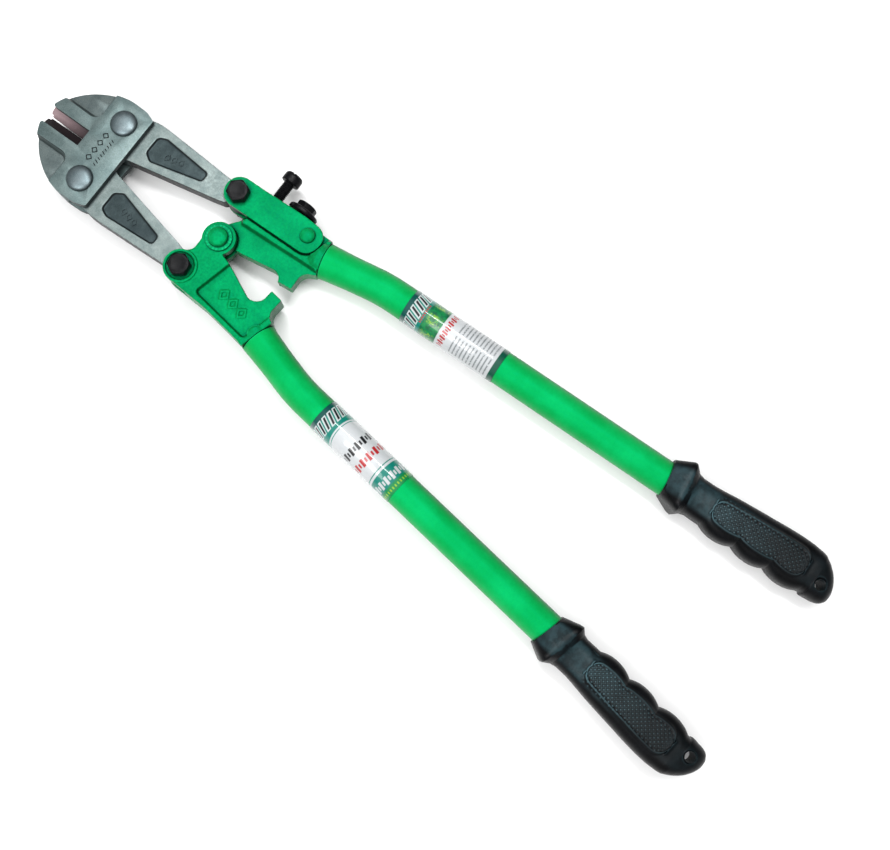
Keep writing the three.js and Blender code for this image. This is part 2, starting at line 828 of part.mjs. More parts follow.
const head = new THREE.Group();
head.position.set(...HEAD_AT, 0);
head.rotation.z = HEAD_TURN;
tool.add(head);
const plate = sidePlateBody();
head.add(mesh("front_side_plate", plate, SATIN_STEEL));
head.add(mesh("rear_side_plate", otherFace(plate), SATIN_STEEL));
const sides = [
  { word: "left", side: LEFT },
  { word: "right", side: RIGHT },
];
for (const { word, side } of sides) {
  const pin = rivet(RIVET_SHANK, 9, 3.2, [side * JAW_PIVOT_X, 0]);
  head.add(mesh(word + "_jaw_rivet", pin, SATIN_STEEL));
}
const leftJaw = leftJawBody();
for (const { word, side } of sides) {
  const jaw = mesh(word + "_jaw", side === LEFT ? leftJaw : mirrored(leftJaw), SATIN_STEEL);
  jaw.position.x = side * JAW_PIVOT_X;
  jaw.rotation.z = JAW_SWAY - side * JAW_OPEN_AT_REST;
  head.add(jaw);
}

const bothHandles = [
  ["tube", geometryOf(leftTubeBody()), TUBE_GREEN],
  ["label", geometryOf(leftLabelBody()), LABEL_WHITE],
  ["grip", geometryOf(leftGripBody()), GRIP_BLACK],
];
for (const { word, side } of sides) {
  for (const [what, geometry, material] of bothHandles) {
    tool.add(mesh(word + "_" + what, side === LEFT ? geometry : mirrored(geometry), material));
  }
}

tool.add(mesh("left_casting", leftCastingBody(), CAST_GREEN));
tool.add(mesh("left_jaw_bolt", tailBolt(LEFT_BOLT_AT, CAST_HALF, rad(8)), DARK_STEEL));
tool.add(mesh("left_jaw_nut", nut(LEFT_BOLT_AT, CAST_HALF, 6.4, rad(20)), DARK_STEEL));

const centreBolt = turned([
  [0, -15.6],
  [PIVOT_SHANK - 0.8, -15.6],
  [PIVOT_SHANK, -14.8],
  [PIVOT_SHANK, CAST_HALF + 1.3 + GAP],
  [6.8, CAST_HALF + 1.3 + GAP],
  [6.8, CAST_HALF + 3.6],
  [6.0, CAST_HALF + 4.8],
  [4.2, CAST_HALF + 5.4],
  [0, CAST_HALF + 5.6],
]);
tool.add(mesh("centre_bolt", centreBolt, CAST_GREEN));
const frontWasher = cut(disc(9.2, CAST_HALF + GAP, CAST_HALF + 1.3), disc(BORE, 0, 30));
tool.add(mesh("centre_front_washer", frontWasher, CAST_GREEN));
const tongueLow = JAW_HALF + 1;
const rearWasher = cut(disc(10.4, -tongueLow - 1.8, -tongueLow - GAP), disc(BORE, -30, 0));
tool.add(mesh("centre_rear_washer", rearWasher, DARK_STEEL));
tool.add(mesh("centre_nut", nut([0, 0], tongueLow + 1.8, 6, rad(12)), DARK_STEEL));

tool.add(mesh("right_casting", rightCastingBody(), CAST_GREEN));
const linkPlate = linkPlateBody();
tool.add(mesh("front_link_plate", linkPlate, CAST_GREEN));
tool.add(mesh("rear_link_plate", otherFace(linkPlate), CAST_GREEN));
tool.add(mesh("link_rivet", rivet(LINK_RIVET_SHANK, 5.2, 2.4, LINK_RIVET_AT), CAST_GREEN));
tool.add(mesh("right_jaw_bolt", tailBolt(RIGHT_BOLT_AT, PLATE_HIGH, rad(14)), DARK_STEEL));
tool.add(mesh("right_jaw_nut", nut(RIGHT_BOLT_AT, PLATE_HIGH, 6.8, rad(5)), DARK_STEEL));
tool.add(mesh("adjuster_block", bridgeBlock(), DARK_STEEL));
tool.add(mesh("adjusting_screw", adjustingScrewBody(), DARK_STEEL));
tool.add(mesh("lock_washer", lockWasherBody(), DARK_STEEL));
tool.add(mesh("lock_screw", lockScrewBody(), DARK_STEEL));

// The origin is the middle of the underside of the tool's box.
const extent = new THREE.Box3().setFromObject(tool, true);
const centre = extent.getCenter(new THREE.Vector3());
tool.position.set(-centre.x, -centre.y, -extent.min.z);
const part = new THREE.Group();
part.add(tool);

export default part;
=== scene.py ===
"""Looks of the bolt cutters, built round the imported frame.

Pieces are drawn in millimetres in the tool frame (centre pivot at the origin, mid-plane at z = 0,
jaw tips towards +Y, adjusting side towards +X) and then moved into the row frame in metres.
"""

import functools
import json
import math

import bpy
import numpy as np
from mathutils import Matrix, Vector, noise


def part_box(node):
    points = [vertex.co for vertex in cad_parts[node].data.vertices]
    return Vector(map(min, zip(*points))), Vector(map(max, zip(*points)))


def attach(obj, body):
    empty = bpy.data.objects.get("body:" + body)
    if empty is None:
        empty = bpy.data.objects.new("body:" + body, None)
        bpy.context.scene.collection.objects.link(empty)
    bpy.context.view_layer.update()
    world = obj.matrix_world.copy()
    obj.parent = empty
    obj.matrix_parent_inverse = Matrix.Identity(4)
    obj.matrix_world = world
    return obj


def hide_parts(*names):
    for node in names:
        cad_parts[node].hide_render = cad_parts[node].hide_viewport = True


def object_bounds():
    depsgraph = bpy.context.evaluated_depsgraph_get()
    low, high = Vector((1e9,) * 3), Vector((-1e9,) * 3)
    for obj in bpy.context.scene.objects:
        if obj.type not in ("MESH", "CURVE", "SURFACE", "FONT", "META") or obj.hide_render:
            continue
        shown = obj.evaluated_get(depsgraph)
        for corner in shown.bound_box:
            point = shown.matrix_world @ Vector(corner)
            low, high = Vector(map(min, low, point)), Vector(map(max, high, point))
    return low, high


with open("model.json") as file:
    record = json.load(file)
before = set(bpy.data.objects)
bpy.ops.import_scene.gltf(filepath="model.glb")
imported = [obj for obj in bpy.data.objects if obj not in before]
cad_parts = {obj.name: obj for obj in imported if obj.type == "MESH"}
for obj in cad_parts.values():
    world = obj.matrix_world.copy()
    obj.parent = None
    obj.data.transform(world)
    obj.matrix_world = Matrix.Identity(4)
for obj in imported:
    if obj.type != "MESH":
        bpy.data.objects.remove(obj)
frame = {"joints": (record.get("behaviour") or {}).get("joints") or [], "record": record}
cad_low, cad_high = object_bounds()

# ---- frame ---------------------------------------------------------------------------------------
MM = 0.001
BODY_OF = {n: b for b, nodes in frame["record"]["behaviour"]["bodies"].items() for n in nodes}
JOINTS = {j["name"]: j for j in frame["joints"]}
bolt_low, bolt_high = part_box("centre_bolt")
bolt_middle = (bolt_low + bolt_high) / 2
CENTRE = Vector((bolt_middle.x, bolt_middle.y, JOINTS["left_handle_pivot"]["pos_m"][2]))
TO_ROW = Matrix.Translation(CENTRE) @ Matrix.Scale(MM, 4)
MIRROR_X = Matrix.Diagonal((-1, 1, 1, 1))
MIRROR_Z = Matrix.Diagonal((1, 1, -1, 1))
LEFT, RIGHT = -1, 1
SIDES = ((LEFT, "left"), (RIGHT, "right"))


def shifted(x, y):
    return Matrix.Translation((x, y, 0))


def spun(degrees, axis="Z"):
    return Matrix.Rotation(math.radians(degrees), 4, axis)


# ---- dimensions in millimetres, as in the CAD ----------------------------------------------------
GAP = 0.3
THROUGH = 20  # cutters reach this far from the mid-plane
JAW_HALF = 5.5
PLATE_LOW, PLATE_HIGH = 5.8, 9.8
CAST_HALF = 11.3
POCKET_FLOOR = 8.2
RIB_HALF = 8.6
FOOT = 18.5
HEAD = shifted(-3.5, 102.3) @ spun(3.49)
HEAD_HALF_WIDTH, HEAD_WAIST, HEAD_NOSE, HEAD_POWER = 40, 3, 45.8, 1.8
PLATE_REAR = -15
NOTCH_HALF, NOTCH_FLOOR = 6.5, 16
RECESS_X, RECESS_DRAFT = 15.3, 2.4
JAW_PIVOT_X = 24
JAW_TURN = {LEFT: -0.745 + 0.55, RIGHT: -0.745 - 0.55}
JAW_TAIL = (-32.7, -93.2)
TAIL_RADIUS = 9.8
EDGE_CLEARANCE, EDGE_LAND, BEVEL_WIDTH = 0.08, 0.35, 7.2
ARM_FROM = -7.5
SHANK, BOLT_PITCH = 4.9, 1.5
BORE = SHANK + GAP
RIVET_HOLE, LINK_RIVET_HOLE = 6.3, 4.8
PIVOT_PLAY = 7.4
LEFT_BOLT_AT = (-30.8, 7.3)
RIGHT_BOLT_AT = (32.7, 10.9)
LINK_RIVET_AT = (39.0, -44.4)
BOSS_RADIUS, TONGUE_RADIUS = 11.6, 11.4
LAP_RADIUS, LAP_CORE = TONGUE_RADIUS + 2.9, 9.5
HEAD_ACROSS, NUT_ACROSS = 14, 16
TUBE_RADIUS, TUBE_BORE, TUBE_MOUTH_RADIUS, FLARE = 11.7, 9.9, 12.6, 24
COLLAR_AT = Vector((-34.5, -62.5))
COLLAR_LEAN, TUBE_LEAN = math.radians(13.5), math.radians(4.5)
KNEE_BELOW, KNEE_RADIUS, GRIP_BELOW, TUBE_IN_GRIP = 45, 130, 269, 100
LABEL_SPAN = {LEFT: (23.0, 71.0), RIGHT: (20.0, 74.0)}  # start below the knee, length
HANG_HOLE = (3.5, 116)
SCREW_TURN = 3.5
PUSH_AT, LOCK_AT = (46.8, -8.9), (48.6, -28.9)
SCREW_RADIUS, SCREW_PITCH = 4.0, 1.25
SCREW_BORE = SCREW_RADIUS + 0.25


# ---- mesh helpers --------------------------------------------------------------------------------
def link(data, name="work"):
    """A new object for a mesh, lamp or camera."""
    made = bpy.data.objects.new(name, data)
    bpy.context.scene.collection.objects.link(made)
    return made


def built(vertices, faces):
    """An object from vertices and faces, with its faces turned out."""
    mesh = bpy.data.meshes.new("work")
    mesh.from_pydata([tuple(v) for v in vertices], [], [tuple(f) for f in faces])
    mesh.validate()
    made = link(mesh)
    if signed_volume(mesh) < 0:
        mesh.flip_normals()
    return made


def rows_of(items, field, kind=np.float32):
    """A field of three numbers, read from every item of a mesh collection."""
    values = np.empty(len(items) * 3, kind)
    items.foreach_get(field, values)
    return values.reshape(-1, 3)


def signed_volume(mesh):
    mesh.calc_loop_triangles()
    corners = rows_of(mesh.loop_triangles, "vertices", np.int32)
    a, b, c = rows_of(mesh.vertices, "co")[corners].transpose(1, 0, 2)
    return float(np.einsum("ij,ij->i", a, np.cross(b, c)).sum())


def bake_modifiers(target):
    """Replaces the object's mesh by what its modifiers make of it."""
    deps = bpy.context.evaluated_depsgraph_get()
    mesh = bpy.data.meshes.new_from_object(target.evaluated_get(deps))
    old = target.data
    target.modifiers.clear()
    target.data = mesh
    bpy.data.meshes.remove(old)
    return target


def combine(target, operation, tools):
    """Boolean of the target with the tools, which are used up."""
    for tool in tools:
        modifier = target.modifiers.new("boolean", "BOOLEAN")
        modifier.operation = operation
        modifier.solver = "MANIFOLD"
        modifier.object = tool
    bake_modifiers(target)
    for tool in tools:
        mesh = tool.data
        bpy.data.objects.remove(tool)
        bpy.data.meshes.remove(mesh)
    return target


def cut(target, *tools):
    return combine(target, "DIFFERENCE", tools)


def join(target, *tools):
    return combine(target, "UNION", tools)


def common(target, *tools):
    return combine(target, "INTERSECT", tools)


def moved(target, matrix):
    """Moves the mesh of a working object; a mirroring matrix turns the faces out again."""
    target.data.transform(matrix)
    if matrix.determinant() < 0:
        target.data.flip_normals()
    return target


def copy_of(source, matrix=None):
    made = link(source.data.copy())
    return moved(made, matrix) if matrix else made


def soften(target, voxel, rounds):
    """Remeshes at a fine pitch and rounds the edges over, as forging, casting or pressing leaves them."""
    remesh = target.modifiers.new("remesh", "REMESH")
    remesh.mode = "VOXEL"
    remesh.voxel_size = voxel
    smooth = target.modifiers.new("smooth", "SMOOTH")
    smooth.factor = 0.5
    smooth.iterations = rounds
    return bake_modifiers(target)


def thin(target, keep):
    decimate = target.modifiers.new("decimate", "DECIMATE")
    decimate.ratio = keep
    return bake_modifiers(target)


def cast_skin(target, seed, amount=0.09, grain=0.05):
    """Moves the skin along its normals into the slow waves and fine grain of a cast surface."""
    mesh = target.data
    shift = Vector((seed, seed * 1.7, -seed))
    points = rows_of(mesh.vertices, "co")
    amounts = []
    for p in points:
        spot = Vector(p.tolist()) + shift
        amounts.append(amount * noise.noise(spot * 0.11) + grain * noise.noise(spot * 0.75))
    points = points + rows_of(mesh.vertex_normals, "vector") * np.asarray(amounts)[:, None]
    mesh.vertices.foreach_set("co", points.astype(np.float32).ravel())
    mesh.update()
    return target


# ---- outlines and simple solids ------------------------------------------------------------------
def outline(corners, step=6.0):
    """A closed outline from corners (x, y, radius): a corner with a radius becomes an arc."""
    points = []
    for i, corner in enumerate(corners):
        here = Vector(corner[:2])
        radius = corner[2] if len(corner) > 2 else 0
        if not radius:
            points.append(here)
            continue
        back = (Vector(corners[i - 1][:2]) - here).normalized()
        ahead = (Vector(corners[(i + 1) % len(corners)][:2]) - here).normalized()
        half = math.acos(max(-1.0, min(1.0, back.dot(ahead)))) / 2
        centre = here + (back + ahead).normalized() * (radius / math.sin(half))
        start = here + back * (radius / math.tan(half)) - centre
        turn = math.pi - 2 * half
        sweep = turn if ahead.x * back.y - ahead.y * back.x > 0 else -turn
        steps = max(2, math.ceil(turn / math.radians(step)))
        for k in range(steps + 1):
            points.append(centre + turned(start, sweep * k / steps))
    return points


def turned(v, angle):
    c, s = math.cos(angle), math.sin(angle)
    return Vector((v.x * c - v.y * s, v.x * s + v.y * c))


def wall_faces(rings, count):
    """Faces between neighbouring rings of the same number of points."""
    faces = []
    for low in range(0, (rings - 1) * count, count):
        high = low + count
        for k in range(count):
            n = (k + 1) % count
            faces.append((low + k, low + n, high + n, high + k))
    return faces


def skin(rings):
    """A closed skin through rings that have the same number of points."""
    count = len(rings[0])
    vertices = [p for ring in rings for p in ring]
    ends = [tuple(reversed(range(count))), tuple(range(len(vertices) - count, len(vertices)))]
    return built(vertices, wall_faces(len(rings), count) + ends)


def prism(points, low, high):
    return skin([[(p[0], p[1], z) for p in points] for z in (low, high)])


def slab(points, half):
    return prism(points, -half, half)


def drafted(corners, low, high, draft):
    """A cutter with sloping walls: the outline at z = low, opened by the draft at z = high."""
    inner = outline(corners)
    count = len(inner)
    middle = sum(inner, Vector((0, 0))) / count
    outer = []
    for i, p in enumerate(inner):
        along = (inner[(i + 1) % count] - inner[i - 1]).normalized()
        away = Vector((along.y, -along.x))
        side = 1 if away.dot(p - middle) > 0 else -1
        outer.append(p + away * side * draft)
    return skin([[(p.x, p.y, low) for p in inner], [(p.x, p.y, high) for p in outer]])


def lathe(profile, at=(0, 0), segments=72):
    """A piece turned about z; the profile of (radius, z) runs from the axis to the axis."""
    rings = [(r, z) for r, z in profile if r > 1e-6]
    angles = [2 * math.pi * k / segments for k in range(segments)]
    vertices = [(at[0] + r * math.cos(a), at[1] + r * math.sin(a), z) for r, z in rings for a in angles]
    faces = wall_faces(len(rings), segments)
    for ring, z in ((0, profile[0][1]), (len(rings) - 1, profile[-1][1])):
        vertices.append((at[0], at[1], z))
        tip = len(vertices) - 1
        for k in range(segments):
            n = (k + 1) % segments
            face = (ring * segments + n, ring * segments + k, tip)
            faces.append(face if ring == 0 else face[::-1])
    return built(vertices, faces)


def disc(radius, low, high, at=(0, 0), segments=72):
    return lathe([(0, low), (radius, low), (radius, high), (0, high)], at, segments)


def hole(radius, at=(0, 0), low=-THROUGH):
    """A cutter for a round hole."""
    return disc(radius, low, THROUGH, at)


def rounded(profile, radius, steps):
    """A turned profile with its outside corners rounded a little."""
    made = [profile[0]]
    for i in range(1, len(profile) - 1):
        here = Vector(profile[i])
        before, after = Vector(profile[i - 1]) - here, Vector(profile[i + 1]) - here
        reach = min(radius, before.length * 0.45, after.length * 0.45)
        start, end = here + before.normalized() * reach, here + after.normalized() * reach
        for k in range(steps + 1):
            t = k / steps
            p = start * (1 - t) ** 2 + here * 2 * t * (1 - t) + end * t * t
            made.append((p.x, p.y))
    made.append(profile[-1])
    return made


def hexagon(across, low, high, at, turn, chamfer_low=True):
    """A hexagonal head or nut with its corners turned off."""
    corner, flat, slope = across / math.sqrt(3), 0.35, 0.58
    points = [Vector(at) + turned(Vector((corner, 0)), math.radians(turn + 60 * k)) for k in range(6)]
    inner = across / 2 - flat
    drop = (corner - inner) * slope
    foot = (inner, low + drop) if chamfer_low else (corner + 1, low)
    top = high + 0.01
    profile = [
        (0, low - 0.01), (foot[0], low - 0.01), (corner + 0.02, foot[1]), (corner + 0.02, high - drop),
        (inner, top), (0, top)
    ]
    return common(prism(points, low, high), lathe(profile, at))


def bevelled(target, width, segments, angle):
    bevel = target.modifiers.new("bevel", "BEVEL")
    bevel.width = width
    bevel.segments = segments
    bevel.limit_method = "ANGLE"
    bevel.angle_limit = math.radians(angle)
    return bake_modifiers(target)


# ---- finishing a piece ---------------------------------------------------------------------------
def finish(work, word, node, material, angle):
    """Puts a drawn piece in its place in the row, makes it ride and lets it stand for its CAD node."""
    mesh = work.data
    mesh.transform(TO_ROW)
    mesh.validate()
    mesh.shade_smooth()
    mesh.set_sharp_from_angle(angle=math.radians(angle))
    mesh.materials.clear()
    mesh.materials.append(material)
    work.name = mesh.name = f"{word}_{node}"
    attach(work, BODY_OF[node])
    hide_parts(node)


# ---- head ----------------------------------------------------------------------------------------
def nose(half_width, start_x, side, steps=40):
    """Points of the nose curve from x = start_x to the waist, on one side."""
    start = math.acos((start_x / half_width) ** (HEAD_POWER / 2))
    points = []
    for k in range(steps + 1):
        angle = start * (1 - k / steps)
        x = side * half_width * math.cos(angle) ** (2 / HEAD_POWER)
        points.append(Vector((x, HEAD_WAIST + HEAD_NOSE * math.sin(angle) ** (2 / HEAD_POWER))))
    return points


def bar(x, y, length, width, low, high, turn):
    """A short raised or cut-in bar with round ends."""
    half_length, half_width = length / 2, width / 2
    signs = ((-1, -1), (1, -1), (1, 1), (-1, 1))
    corners = [(i * half_length, j * half_width, half_width * 0.98) for i, j in signs]
    return moved(prism(outline(corners, 30), low, high), shifted(x, y) @ spun(turn))


def diamond_mark(x, y, across, tall, low, high, line, turn=0.0):
    """An open diamond: the generic mark that stands for cast or pressed figures."""
    def diamond(w, h, bottom, top):
        return prism(outline([(-w, 0, 0.4), (0, -h, 0.4), (w, 0, 0.4), (0, h, 0.4)], 30), bottom, top)

    w, h = across / 2, tall / 2
    ring = cut(diamond(w, h, low, high), diamond(w - 1.3 * line, h - 1.5 * line, low - 1, high + 1))
    return moved(ring, shifted(x, y) @ spun(turn))


def side_plate_shape():
    rear = outline([
        (-HEAD_HALF_WIDTH, HEAD_WAIST - 1), (-39.7, -8, 14), (-37, PLATE_REAR, 1.5), (37, PLATE_REAR, 1.5),
        (39.7, -8, 14), (HEAD_HALF_WIDTH, HEAD_WAIST - 1)
    ])
    left = nose(HEAD_HALF_WIDTH, NOTCH_HALF, LEFT)
    right = nose(HEAD_HALF_WIDTH, NOTCH_HALF, RIGHT)[::-1]
    mouth_y = left[0].y
    notch = [
        (NOTCH_HALF, mouth_y, 1.6), (NOTCH_HALF, NOTCH_FLOOR, 0.5), (-NOTCH_HALF, NOTCH_FLOOR, 0.5),
        (-NOTCH_HALF, mouth_y, 1.6)
    ]
    plate = prism(outline(rear + right[:-2] + notch + left[2:]), PLATE_LOW, PLATE_HIGH)
    cutters = []
    for side in (LEFT, RIGHT):
        wall = side * (RECESS_X + RECESS_DRAFT)
        floor = NOTCH_FLOOR + RECESS_DRAFT
        corners = [(wall, 60), (wall, floor, 4), (side * 60, floor), (side * 60, 60)]
        cutters.append(drafted(corners, PLATE_LOW - 0.1, PLATE_HIGH + 0.1, RECESS_DRAFT))
        cutters.append(hole(RIVET_HOLE, (side * JAW_PIVOT_X, 0), 0))
    return bevelled(cut(plate, *cutters), 0.45, 3, 25)


def plate_marks():
    """Open diamonds over a row of short ticks, pressed into the front plate in place of lettering."""
    deep = PLATE_HIGH - 0.45
    marks = [diamond_mark(-8.5 + 6.2 * k, 4.6, 5.2, 5.4, deep, 12, 0.75) for k in range(4)]
    for k in range(9):
        marks.append(bar(-10.5 + 2.5 * k, -1.7, 3.2 if k % 3 == 1 else 2.4, 0.75, deep, 12, turn=66))
    return marks


def rivet_shape(head, shank, rim, crown, at, power=1.0, steps=10, segments=72):
    """A shank between two domes: rim is the height of a head's side, crown that of its dome."""
    seat = PLATE_HIGH + GAP
    dome = []
    for k in range(steps + 1):
        angle = math.pi / 2 * k / steps
        dome.append((head * math.cos(angle) ** power, seat + rim + crown * math.sin(angle)))
    below = [(r, -z) for r, z in dome[::-1]]
    below[0], dome[-1] = (0, below[0][1]), (0, dome[-1][1])
    under = head - 0.1
    profile = below + [(under, -seat), (shank, -seat), (shank, seat), (under, seat)] + dome
    return lathe(profile, at, segments)


def jaw_rivet_shape(side):
    return rivet_shape(9.0, 6, 0.7, 2.5, (side * JAW_PIVOT_X, 0), 0.8, 12, 96)


def left_jaw_shape():
    def sheet(low, high):
        return [(-60, low), (20, low), (20, high), (-60, high)]

    front = nose(HEAD_HALF_WIDTH + 0.2, 1.6, LEFT)
    rear = outline([
        (-40.4, -12, 40), (-38.8, -56, 90), (-37.6, -84), (-30, -93), (-22.2, -88, 4), (-19.6, -78),
        (-6.3, -18, 12), (-0.7, 1, 6), (-EDGE_CLEARANCE, 9),
        (-EDGE_CLEARANCE, HEAD_WAIST + HEAD_NOSE - 0.15, 0.7)
    ])
    blank = slab(front + rear, JAW_HALF)
    jaw = join(copy_of(blank), disc(TAIL_RADIUS, -JAW_HALF, JAW_HALF, JAW_TAIL))
    # drafted pocket with a chamfered rim in each face of the arm
    pocket_corners = [
        (-31, -23.5, 3), (-18.5, -23.5, 3), (-14.9, -29, 3), (-25, -65.8, 2), (-31, -65.8, 2),
        (-33.4, -29, 3)
    ]
    pocket = drafted(pocket_corners, JAW_HALF - 1.6, JAW_HALF + 0.1, 1.0)
    jaw = cut(jaw, hole(BORE, JAW_TAIL), copy_of(pocket, MIRROR_Z), pocket)
    arm = thin(soften(jaw, voxel=0.32, rounds=5), 0.35)
    arm = cut(arm, slab(sheet(ARM_FROM, 70), THROUGH))
    # under the plates and in the mouth the jaw is ground: crisp faces and bevels
    wedge = [
        (-BEVEL_WIDTH, JAW_HALF), (-BEVEL_WIDTH, JAW_HALF + 2), (3, JAW_HALF + 2), (3, EDGE_LAND),
        (-EDGE_CLEARANCE, EDGE_LAND)
    ]
    above = skin([[(x, y, z) for x, z in wedge] for y in (NOTCH_FLOOR - 2, 60)])
    below = slab(sheet(-120, ARM_FROM), THROUGH)
    ground = cut(blank, below, copy_of(above, MIRROR_Z), above, hole(RIVET_HOLE, (-JAW_PIVOT_X, 0)))
    return moved(join(arm, bevelled(ground, 0.18, 2, 25)), shifted(JAW_PIVOT_X, 0))


def jaw_marks(side):
    """Raised diamonds on the pocket floor of one arm, in the jaw's own frame."""
    low, high = JAW_HALF - 1.9, JAW_HALF - 1.1
    marks = []
    for k in range(3):
        x, y = -24.2 - 1.1 * k, -36.3 - 5.0 * k
        marks.append(diamond_mark(x, y, 6.2, 4.9, low, high, 0.8, turn=12))
    marks = [moved(m, shifted(JAW_PIVOT_X, 0)) for m in marks]
    return marks if side == LEFT else [moved(m, MIRROR_X) for m in marks]


def make_head():
    plate = side_plate_shape()
    rear = copy_of(plate, MIRROR_Z)
    front = cut(plate, *plate_marks())
    for work, node in ((front, "front_side_plate"), (rear, "rear_side_plate")):
        finish(moved(work, HEAD), "ground", node, PLATE_STEEL, 30)
    for side, word in SIDES:
        rivet = moved(jaw_rivet_shape(side), HEAD)
        finish(rivet, "domed", word + "_jaw_rivet", RIVET_STEEL, 50)
    left = left_jaw_shape()
    jaws = {LEFT: left, RIGHT: copy_of(left, MIRROR_X)}
    for side, word in SIDES:
        work = join(jaws[side], *jaw_marks(side))
        place = HEAD @ shifted(side * JAW_PIVOT_X, 0) @ spun(JAW_TURN[side])
        finish(moved(work, place), "forged", word + "_jaw", JAW_STEEL[side], 40)


# ---- tubes and labels ----------------------------------------------------------------------------
def down(lean):
    return Vector((-math.sin(lean), -math.cos(lean)))


def tube_line(bend_steps=28, straight_steps=40):
    """Centre line of the left tube, its knee and the length from there to the grip.

    A step of the line is (point, lean, place); the place is in millimetres only in the flared mouth.
    """
    bend = COLLAR_LEAN - TUBE_LEAN
    reach = KNEE_RADIUS * math.tan(bend / 2)
    knee = COLLAR_AT + down(COLLAR_LEAN) * KNEE_BELOW
    line = [(COLLAR_AT + down(COLLAR_LEAN) * s, COLLAR_LEAN, s) for s in (0, 0.5, 1.2, 4, 8, 12, 18, FLARE)]
    start = knee - down(COLLAR_LEAN) * reach
    centre = start + Vector((math.cos(COLLAR_LEAN), -math.sin(COLLAR_LEAN))) * KNEE_RADIUS
    for k in range(bend_steps + 1):
        turn = bend * k / bend_steps
        line.append((centre + turned(start - centre, turn), COLLAR_LEAN - turn, 30 + k))
    length = (GRIP_BELOW - KNEE_BELOW * math.cos(COLLAR_LEAN)) / math.cos(TUBE_LEAN)
    for k in range(1, straight_steps + 1):
        s = reach + (length + TUBE_IN_GRIP - reach) * k / straight_steps
        line.append((knee + down(TUBE_LEAN) * s, TUBE_LEAN, 100 + k))
    return line, knee, length


def tube_skin(radius_of, overshoot=0.0, segments=96):
    line, _, _ = tube_line()
    rings = []
    for i, (at, lean, s) in enumerate(line):
        shift = -overshoot if i == 0 else overshoot if i == len(line) - 1 else 0
        centre = at + down(lean) * shift
        radius = radius_of(s)
        ring = []
        for k in range(segments):
            angle = 2 * math.pi * k / segments
            across = radius * math.cos(angle)
            x, y = centre.x + across * math.cos(lean), centre.y - across * math.sin(lean)
            ring.append((x, y, radius * math.sin(angle)))
        rings.append(ring)
    return skin(rings)


def flare(s):
    """Outside radius of the tube: it swells smoothly towards its rolled mouth."""
    if s <= 0.5:
        return TUBE_MOUTH_RADIUS - 0.5 + 0.5 * math.sqrt(s / 0.5)
    share = max(0.0, 1 - s / FLARE)
    return TUBE_RADIUS + (TUBE_MOUTH_RADIUS - TUBE_RADIUS) * share**1.4


def left_tube_shape():
    return cut(tube_skin(flare), tube_skin(lambda s: TUBE_BORE, 1.0, 64))


def label_top(side):
    """Middle of the label's upper edge, on the left tube."""
    _, knee, _ = tube_line()
    return knee + down(TUBE_LEAN) * LABEL_SPAN[side][0]


def label_shape(side):
    """The printed wrap, with thin rounded edges and a seam at the back."""
    inner, outer = TUBE_RADIUS + 0.15, TUBE_RADIUS + 0.4
    seam = math.radians(6)
    steps = 120
    span = [(-math.pi / 2 + seam) + (2 * math.pi - 2 * seam) * k / steps for k in range(steps + 1)]
    length = LABEL_SPAN[side][1]
    in_by, drop_by = 0.12, 0.08
    ends = [(0.0, drop_by), (in_by, 0.0), (length - in_by, 0.0), (length, drop_by)]
    rings = []
    for along, drop in ends:
        ring = [((outer - drop) * math.cos(a), -along, (outer - drop) * math.sin(a)) for a in span]
        ring += [(inner * math.cos(a), -along, inner * math.sin(a)) for a in reversed(span)]
        rings.append(ring)
    vertices = [p for ring in rings for p in ring]
    count = len(rings[0])
    faces = wall_faces(len(rings), count)
    for i, flip in ((0, False), (len(rings) - 1, True)):
        for k in range(steps):
            near, far = i * count + k, (i + 1) * count - 1 - k
            quad = [near, near + 1, far - 1, far]
            faces.append(tuple(quad if flip else reversed(quad)))
    wrap = built(vertices, faces)
    top = label_top(side)
    wrap = moved(wrap, shifted(top.x, top.y) @ spun(-math.degrees(TUBE_LEAN)))
    return wrap if side == LEFT else moved(wrap, MIRROR_X)


# ---- grips ---------------------------------------------------------------------------------------
PANEL_TOP, PANEL_END = 33.5, 102
KNURL_PITCH, KNURL_HEIGHT, KNURL_SINK = 3.5, 0.8, 0.35
BORDER_WIDTH, BORDER_HEIGHT = 0.9, 0.95
BUMP_AT, BUMP_PITCH, BUMP_HEIGHT, VALLEY = 45.5, 24.7, 3.2, 13.2  # finger bumps
BODY_FROM, BODY_TO = 27, 107  # the even part of the grip, below its mouth


def between(a, b, c, d, t):
    """A point between b and c, on the smooth curve through all four."""
    return b + 0.5 * t * (c - a + t * (2 * a - 5 * b + 4 * c - d + t * (3 * (b - c) + d - a)))


def around(stops, i):
    """The stops before and after a stretch, its ends where there are none, with the stretch's own."""
    return stops[max(0, i - 1)], stops[i], stops[i + 1], stops[min(len(stops) - 1, i + 2)]


def spline(stops, x):
    """A smooth curve through (x, y) stops."""
    for i in range(len(stops) - 1):
        x1, x2 = stops[i][0], stops[i + 1][0]
        if x <= x2 or i == len(stops) - 2:
            return between(*[y for _, y in around(stops, i)], (x - x1) / (x2 - x1))


def grip_back(below):
    return spline([(27, 13.5), (46, 15.4), (70, 17.1), (89, 18.2), (100, 18.1), (107, 17.3)], below)


def grip_front(below):
    """Inner edge: three full finger bumps with narrow valleys between them."""
    if below < BUMP_AT - 12.3:
        return VALLEY
    place = (below - BUMP_AT) / BUMP_PITCH
    off = abs(place - round(place))
    return VALLEY + BUMP_HEIGHT * (1 - (2 * off) ** 2.2)


